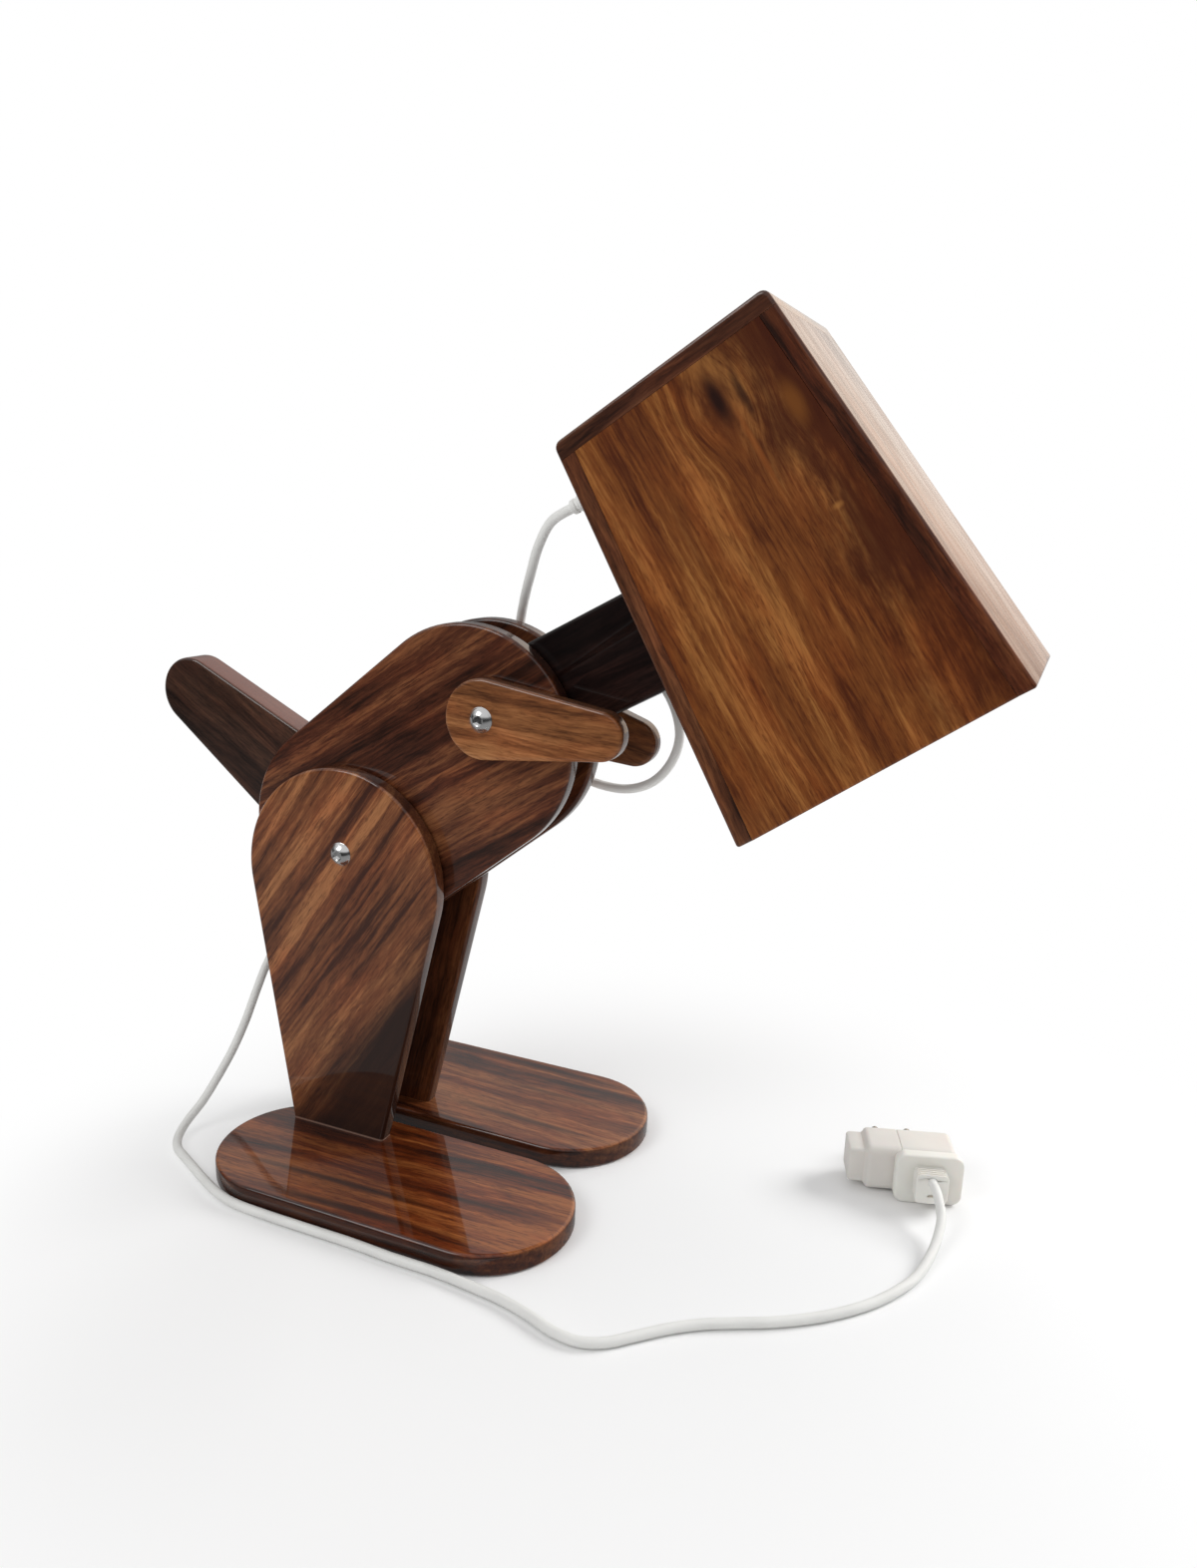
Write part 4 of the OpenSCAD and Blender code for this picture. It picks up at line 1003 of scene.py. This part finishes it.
CLAMP_W, CLAMP_L, RIB = 18, 9, 1.0
FLANGE_W, FLANGE_H, FLANGE_BACK = 38, 30, -16
BLOCK, BLOCK_L, BLOCK_X, BLOCK_Y = 27, 60, FLANGE_BACK - 13.5, -14
PIN_R, PIN_GAP = 2.4, 19


def at_plug(p):
    """Points of the plug's frame (X out of the clamp block's face) to the lamp's."""
    xy = turned(p[..., :2], PLUG_TURN) + PLUG_FACE
    return np.stack([xy[..., 0], xy[..., 1], p[..., 2] + PLUG_Z], -1)


def across_plug(p, x):
    """A flat shape stood across the plug's X axis, at x."""
    return at_plug(np.stack([np.broadcast_to(x, p.shape[:-1]), p[..., 0], p[..., 1]], -1))


def soft_outline(w, h, r):
    """A rectangle w by h whose corners are arcs of radius r; it shrinks by the inset."""
    def outline(d):
        rr = max(r - d, 0.3)
        corner = arc((0, 0), rr, 0, 90, 9)
        a, b = w / 2 - d - rr, h / 2 - d - rr
        return chain([corner + (a, b), corner[::-1] * (-1, 1) + (-a, b),
                      -corner + (-a, -b), corner[::-1] * (1, -1) + (a, -b)])
    return outline


def clamp_block():
    """The clamp block: rounded blocks and ribs on one axis, so its rings step in and out along
    it, and its outer face runs in to the lead's slot and a small oval hole below."""
    shape = soft_outline(CLAMP_W, CLAMP_W, 3)
    rings = [across_plug(shape(i % 2 * RIB * 0.9 + d), -CLAMP_L + (i + f) * RIB)
             for i in range(CLAMP_L) for f, d in ((0.05, 0.25), (0.3, 0), (0.7, 0), (0.95, 0.25))]
    face, far = shape(0.6), shape(0.25)
    sheets = [np.stack([*rings, across_plug(face, 0)])]
    # each hole: its middle, its radius, how far it is pulled apart sideways, and its depth
    holes = ((-1.5, LEAD_RISE, GROUND + 0.3, 1.5, 3), (-0.5, -4.3, 1.2, 0.6, 2))
    for part, (x, y, r, half, deep) in zip(halves(face, 0, 17, 11), holes):
        a = np.arctan2(part[:, 1] - y, part[:, 0] - x)
        ring = np.stack([x + r * np.cos(a) + half * np.tanh(3 * np.cos(a)), y + r * np.sin(a)],
                        -1)
        floor = np.broadcast_to([x, y], ring.shape)
        sheets.append(np.stack([across_plug(q, at) for q, at in
                                ((part, 0), (ring, 0), (ring, -deep), (floor, -deep))]))
    back_x = -CLAMP_L + 0.05
    sheets.append(np.stack([across_plug(far, back_x), across_plug(far * 0, back_x)]))
    return skin("plug_clamp_white", sheets)


def plug_body():
    """The plug's body: a rounded block along Y of the plug's frame, drawn in by steps at its
    free end, with a fine seam round its middle."""
    y0, y1 = BLOCK_Y - BLOCK_L / 2, BLOCK_Y + BLOCK_L / 2
    rows = [(4.5, y0), (3.6, y0 + 0.5), (3.1, y0 + 1.6), (3.0, y0 + 8.6), (2.2, y0 + 9.6),
            (0.8, y0 + 10.4), (0.15, y0 + 11.5), (0, y0 + 13), (0, -15.6), (0.35, -15.2),
            (0.35, -14.8), (0, -14.4), (0, y1 - 3.2), (0.25, y1 - 1.9), (1.0, y1 - 0.7),
            (2.3, y1)]
    shape = soft_outline(BLOCK, BLOCK, 5)
    rings = [shape(d) + (BLOCK_X, 0) for d, _ in rows]
    middle = rings[0] * 0 + (BLOCK_X, 0)
    return skin("plug_body_white", [np.stack([
        at_plug(standing(ring, y)) for ring, y in
        zip([middle, *rings, middle], [y0, *(y for _, y in rows), y1])])])


def pin(s):
    """A round pin with a rounded tip, pointing away from the lead."""
    profile = [(0, -19), (1.4, -19), (2.1, -18.4), (PIN_R, -17.6), (PIN_R, 0), (0, 0)]
    return lathe("pin", profile, lambda p: at_plug(np.stack(
        [p[..., 2] - 43, p[..., 0] + BLOCK_Y + s * PIN_GAP / 2, p[..., 1]], -1)), 40)


# the clamp and flange take the plug white's lighter copy, painted light
dress(clamp_block(), "stand", "plug_clamp", "plug_white", "plug_face_white")
dress(plate("plug_flange_white", soft_outline(FLANGE_W, FLANGE_H, 6), FLANGE_BACK, -CLAMP_L,
            across_plug, e=1.2), "stand", "plug_flange", "plug_white", "plug_face_white")
dress(plug_body(), "stand", "plug_body", "plug_white")
dress(joined("plug_pins_metal", [pin(s) for s in (-1, 1)]), "stand", "plug_pins", "pin_metal")

# ---- cords get their material, and the middle and floor stretches ride their bodies

for name, s0, s1 in CORDS:
    piece = cords[name]
    dress(piece, None, name, "cord_white")
    if name == "cord_upper":
        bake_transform(piece)
    elif name == "cord_lower":
        # it bends outside the left leg, and is still where it passes behind that leg's edge
        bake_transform(piece)
    else:
        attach(piece, "torso" if name == "cord_middle" else "stand")
    last = name == "cord_floor"

# ---- floor, world and lamps

REACH, FLOOR_Z = 6.0, -2e-4     # half the floor's width, and its height, in metres
WHITE = (1, 1, 1, 1)
floor_mesh = bpy.data.meshes.new("floor")
floor_mesh.from_pydata([(x * REACH, y * REACH, FLOOR_Z)
                        for x, y in ((-1, -1), (1, -1), (1, 1), (-1, 1))], [], [(0, 1, 2, 3)])
floor = add("floor", floor_mesh)
s, bsdf, where = new_material("floor_paper", {
    "Base Color": (0.92, 0.92, 0.92, 1), "Roughness": 0.9, "Specular IOR Level": 0.0})
depth = s.axes(where)["Y"]
away = s.vector("DISTANCE", where, (0.12, -0.06, 0))
white = s.node("Emission", {"Color": WHITE, "Strength": 1.0})
mirror = s.node("Emission", {"Color": WHITE, "Strength": s.math(
    "ADD", s.span(depth, -1.2, -0.2, 0.02, 0.27), s.span(depth, -0.05, 0.3, 0, 0.5))})
paper = bsdf
for factor, other in (
        (s.span(away, 0.2, 0.44), white),
        (s.node("LightPath").outputs["Is Glossy Ray"], mirror),
        (s.node("NewGeometry").outputs["Backfacing"],
         s.node("BsdfTransparent"))):
    paper = s.node("MixShader", {0: factor, 1: paper.outputs[0], 2: other.outputs[0]})
out = next(n for n in s.nodes if n.type == "OUTPUT_MATERIAL")
s.put(paper.outputs[0], out.inputs["Surface"])
floor.data.materials.append(mats["floor_paper"])

world = bpy.data.worlds.new("studio")
scene.world = world
world.use_nodes = True
world.node_tree.nodes.clear()
w = Shade(world.node_tree)
path = w.node("LightPath").outputs
heading = w.node("TexCoord").outputs["Generated"]


def lobe(direction, narrow, wide):
    """How near the world's direction is to this one: 0 outside the angle 'wide', 1 inside."""
    dot = w.vector("DOT_PRODUCT", heading, Vector(direction).normalized())
    return w.span(dot, math.cos(math.radians(wide)), math.cos(math.radians(narrow)))


hz = w.axes(heading)
window = lobe((0.45, 0.84, 0.3), 18, 50)
soft = w.span(hz["Z"], -0.2, 0.9, 0.42, 0.5)
ahead = w.math("MULTIPLY", w.span(hz["Y"], 0.1, -0.5), w.span(hz["Z"], 0.15, 0.45))
gloss = w.math("MULTIPLY_ADD", w.math("MAXIMUM", w.span(hz["Z"], 0.2, 0.75), ahead), 0.6,
               w.span(hz["Y"], -0.2, 0.3, 0.04, 0.26))
gloss = w.math("ADD", gloss, w.math("MULTIPLY", window, 1.2))
level = w.node("Mix", {"Factor": path["Is Glossy Ray"], 2: soft, 3: gloss}).outputs[0]
level = w.node("Mix", {"Factor": path["Is Camera Ray"], 2: level, 3: 1.0}).outputs[0]
warm = w.math("MULTIPLY", path["Is Glossy Ray"], window)
sky = w.node("Background", {"Color": w.mix(warm, WHITE, (1, 0.83, 0.69, 1)),
                            "Strength": level})
w.node("OutputWorld", {"Surface": sky.outputs[0]})


def softbox(name, at, aim_z, size, watts, gloss=False):
    """A square lamp at a point, turned to look at one above the frame's origin."""
    data = bpy.data.lights.new(name, "AREA")
    data.shape, data.size, data.energy = "SQUARE", size, watts
    lamp = add(name, data)
    lamp.matrix_world = Matrix.Translation(at) @ (
        Vector((0, 0, aim_z)) - Vector(at)).to_track_quat("-Z", "Y").to_matrix().to_4x4()
    lamp.visible_camera = False
    lamp.visible_glossy = gloss


softbox("key", (-0.9, -1.5, 1.7), 0.2, 1.1, 13, True)
softbox("window", (1.4, 1.1, 1.1), 0.15, 0.9, 28)
softbox("above", (0.1, 0.1, 1.9), 0.1, 1.4, 5)
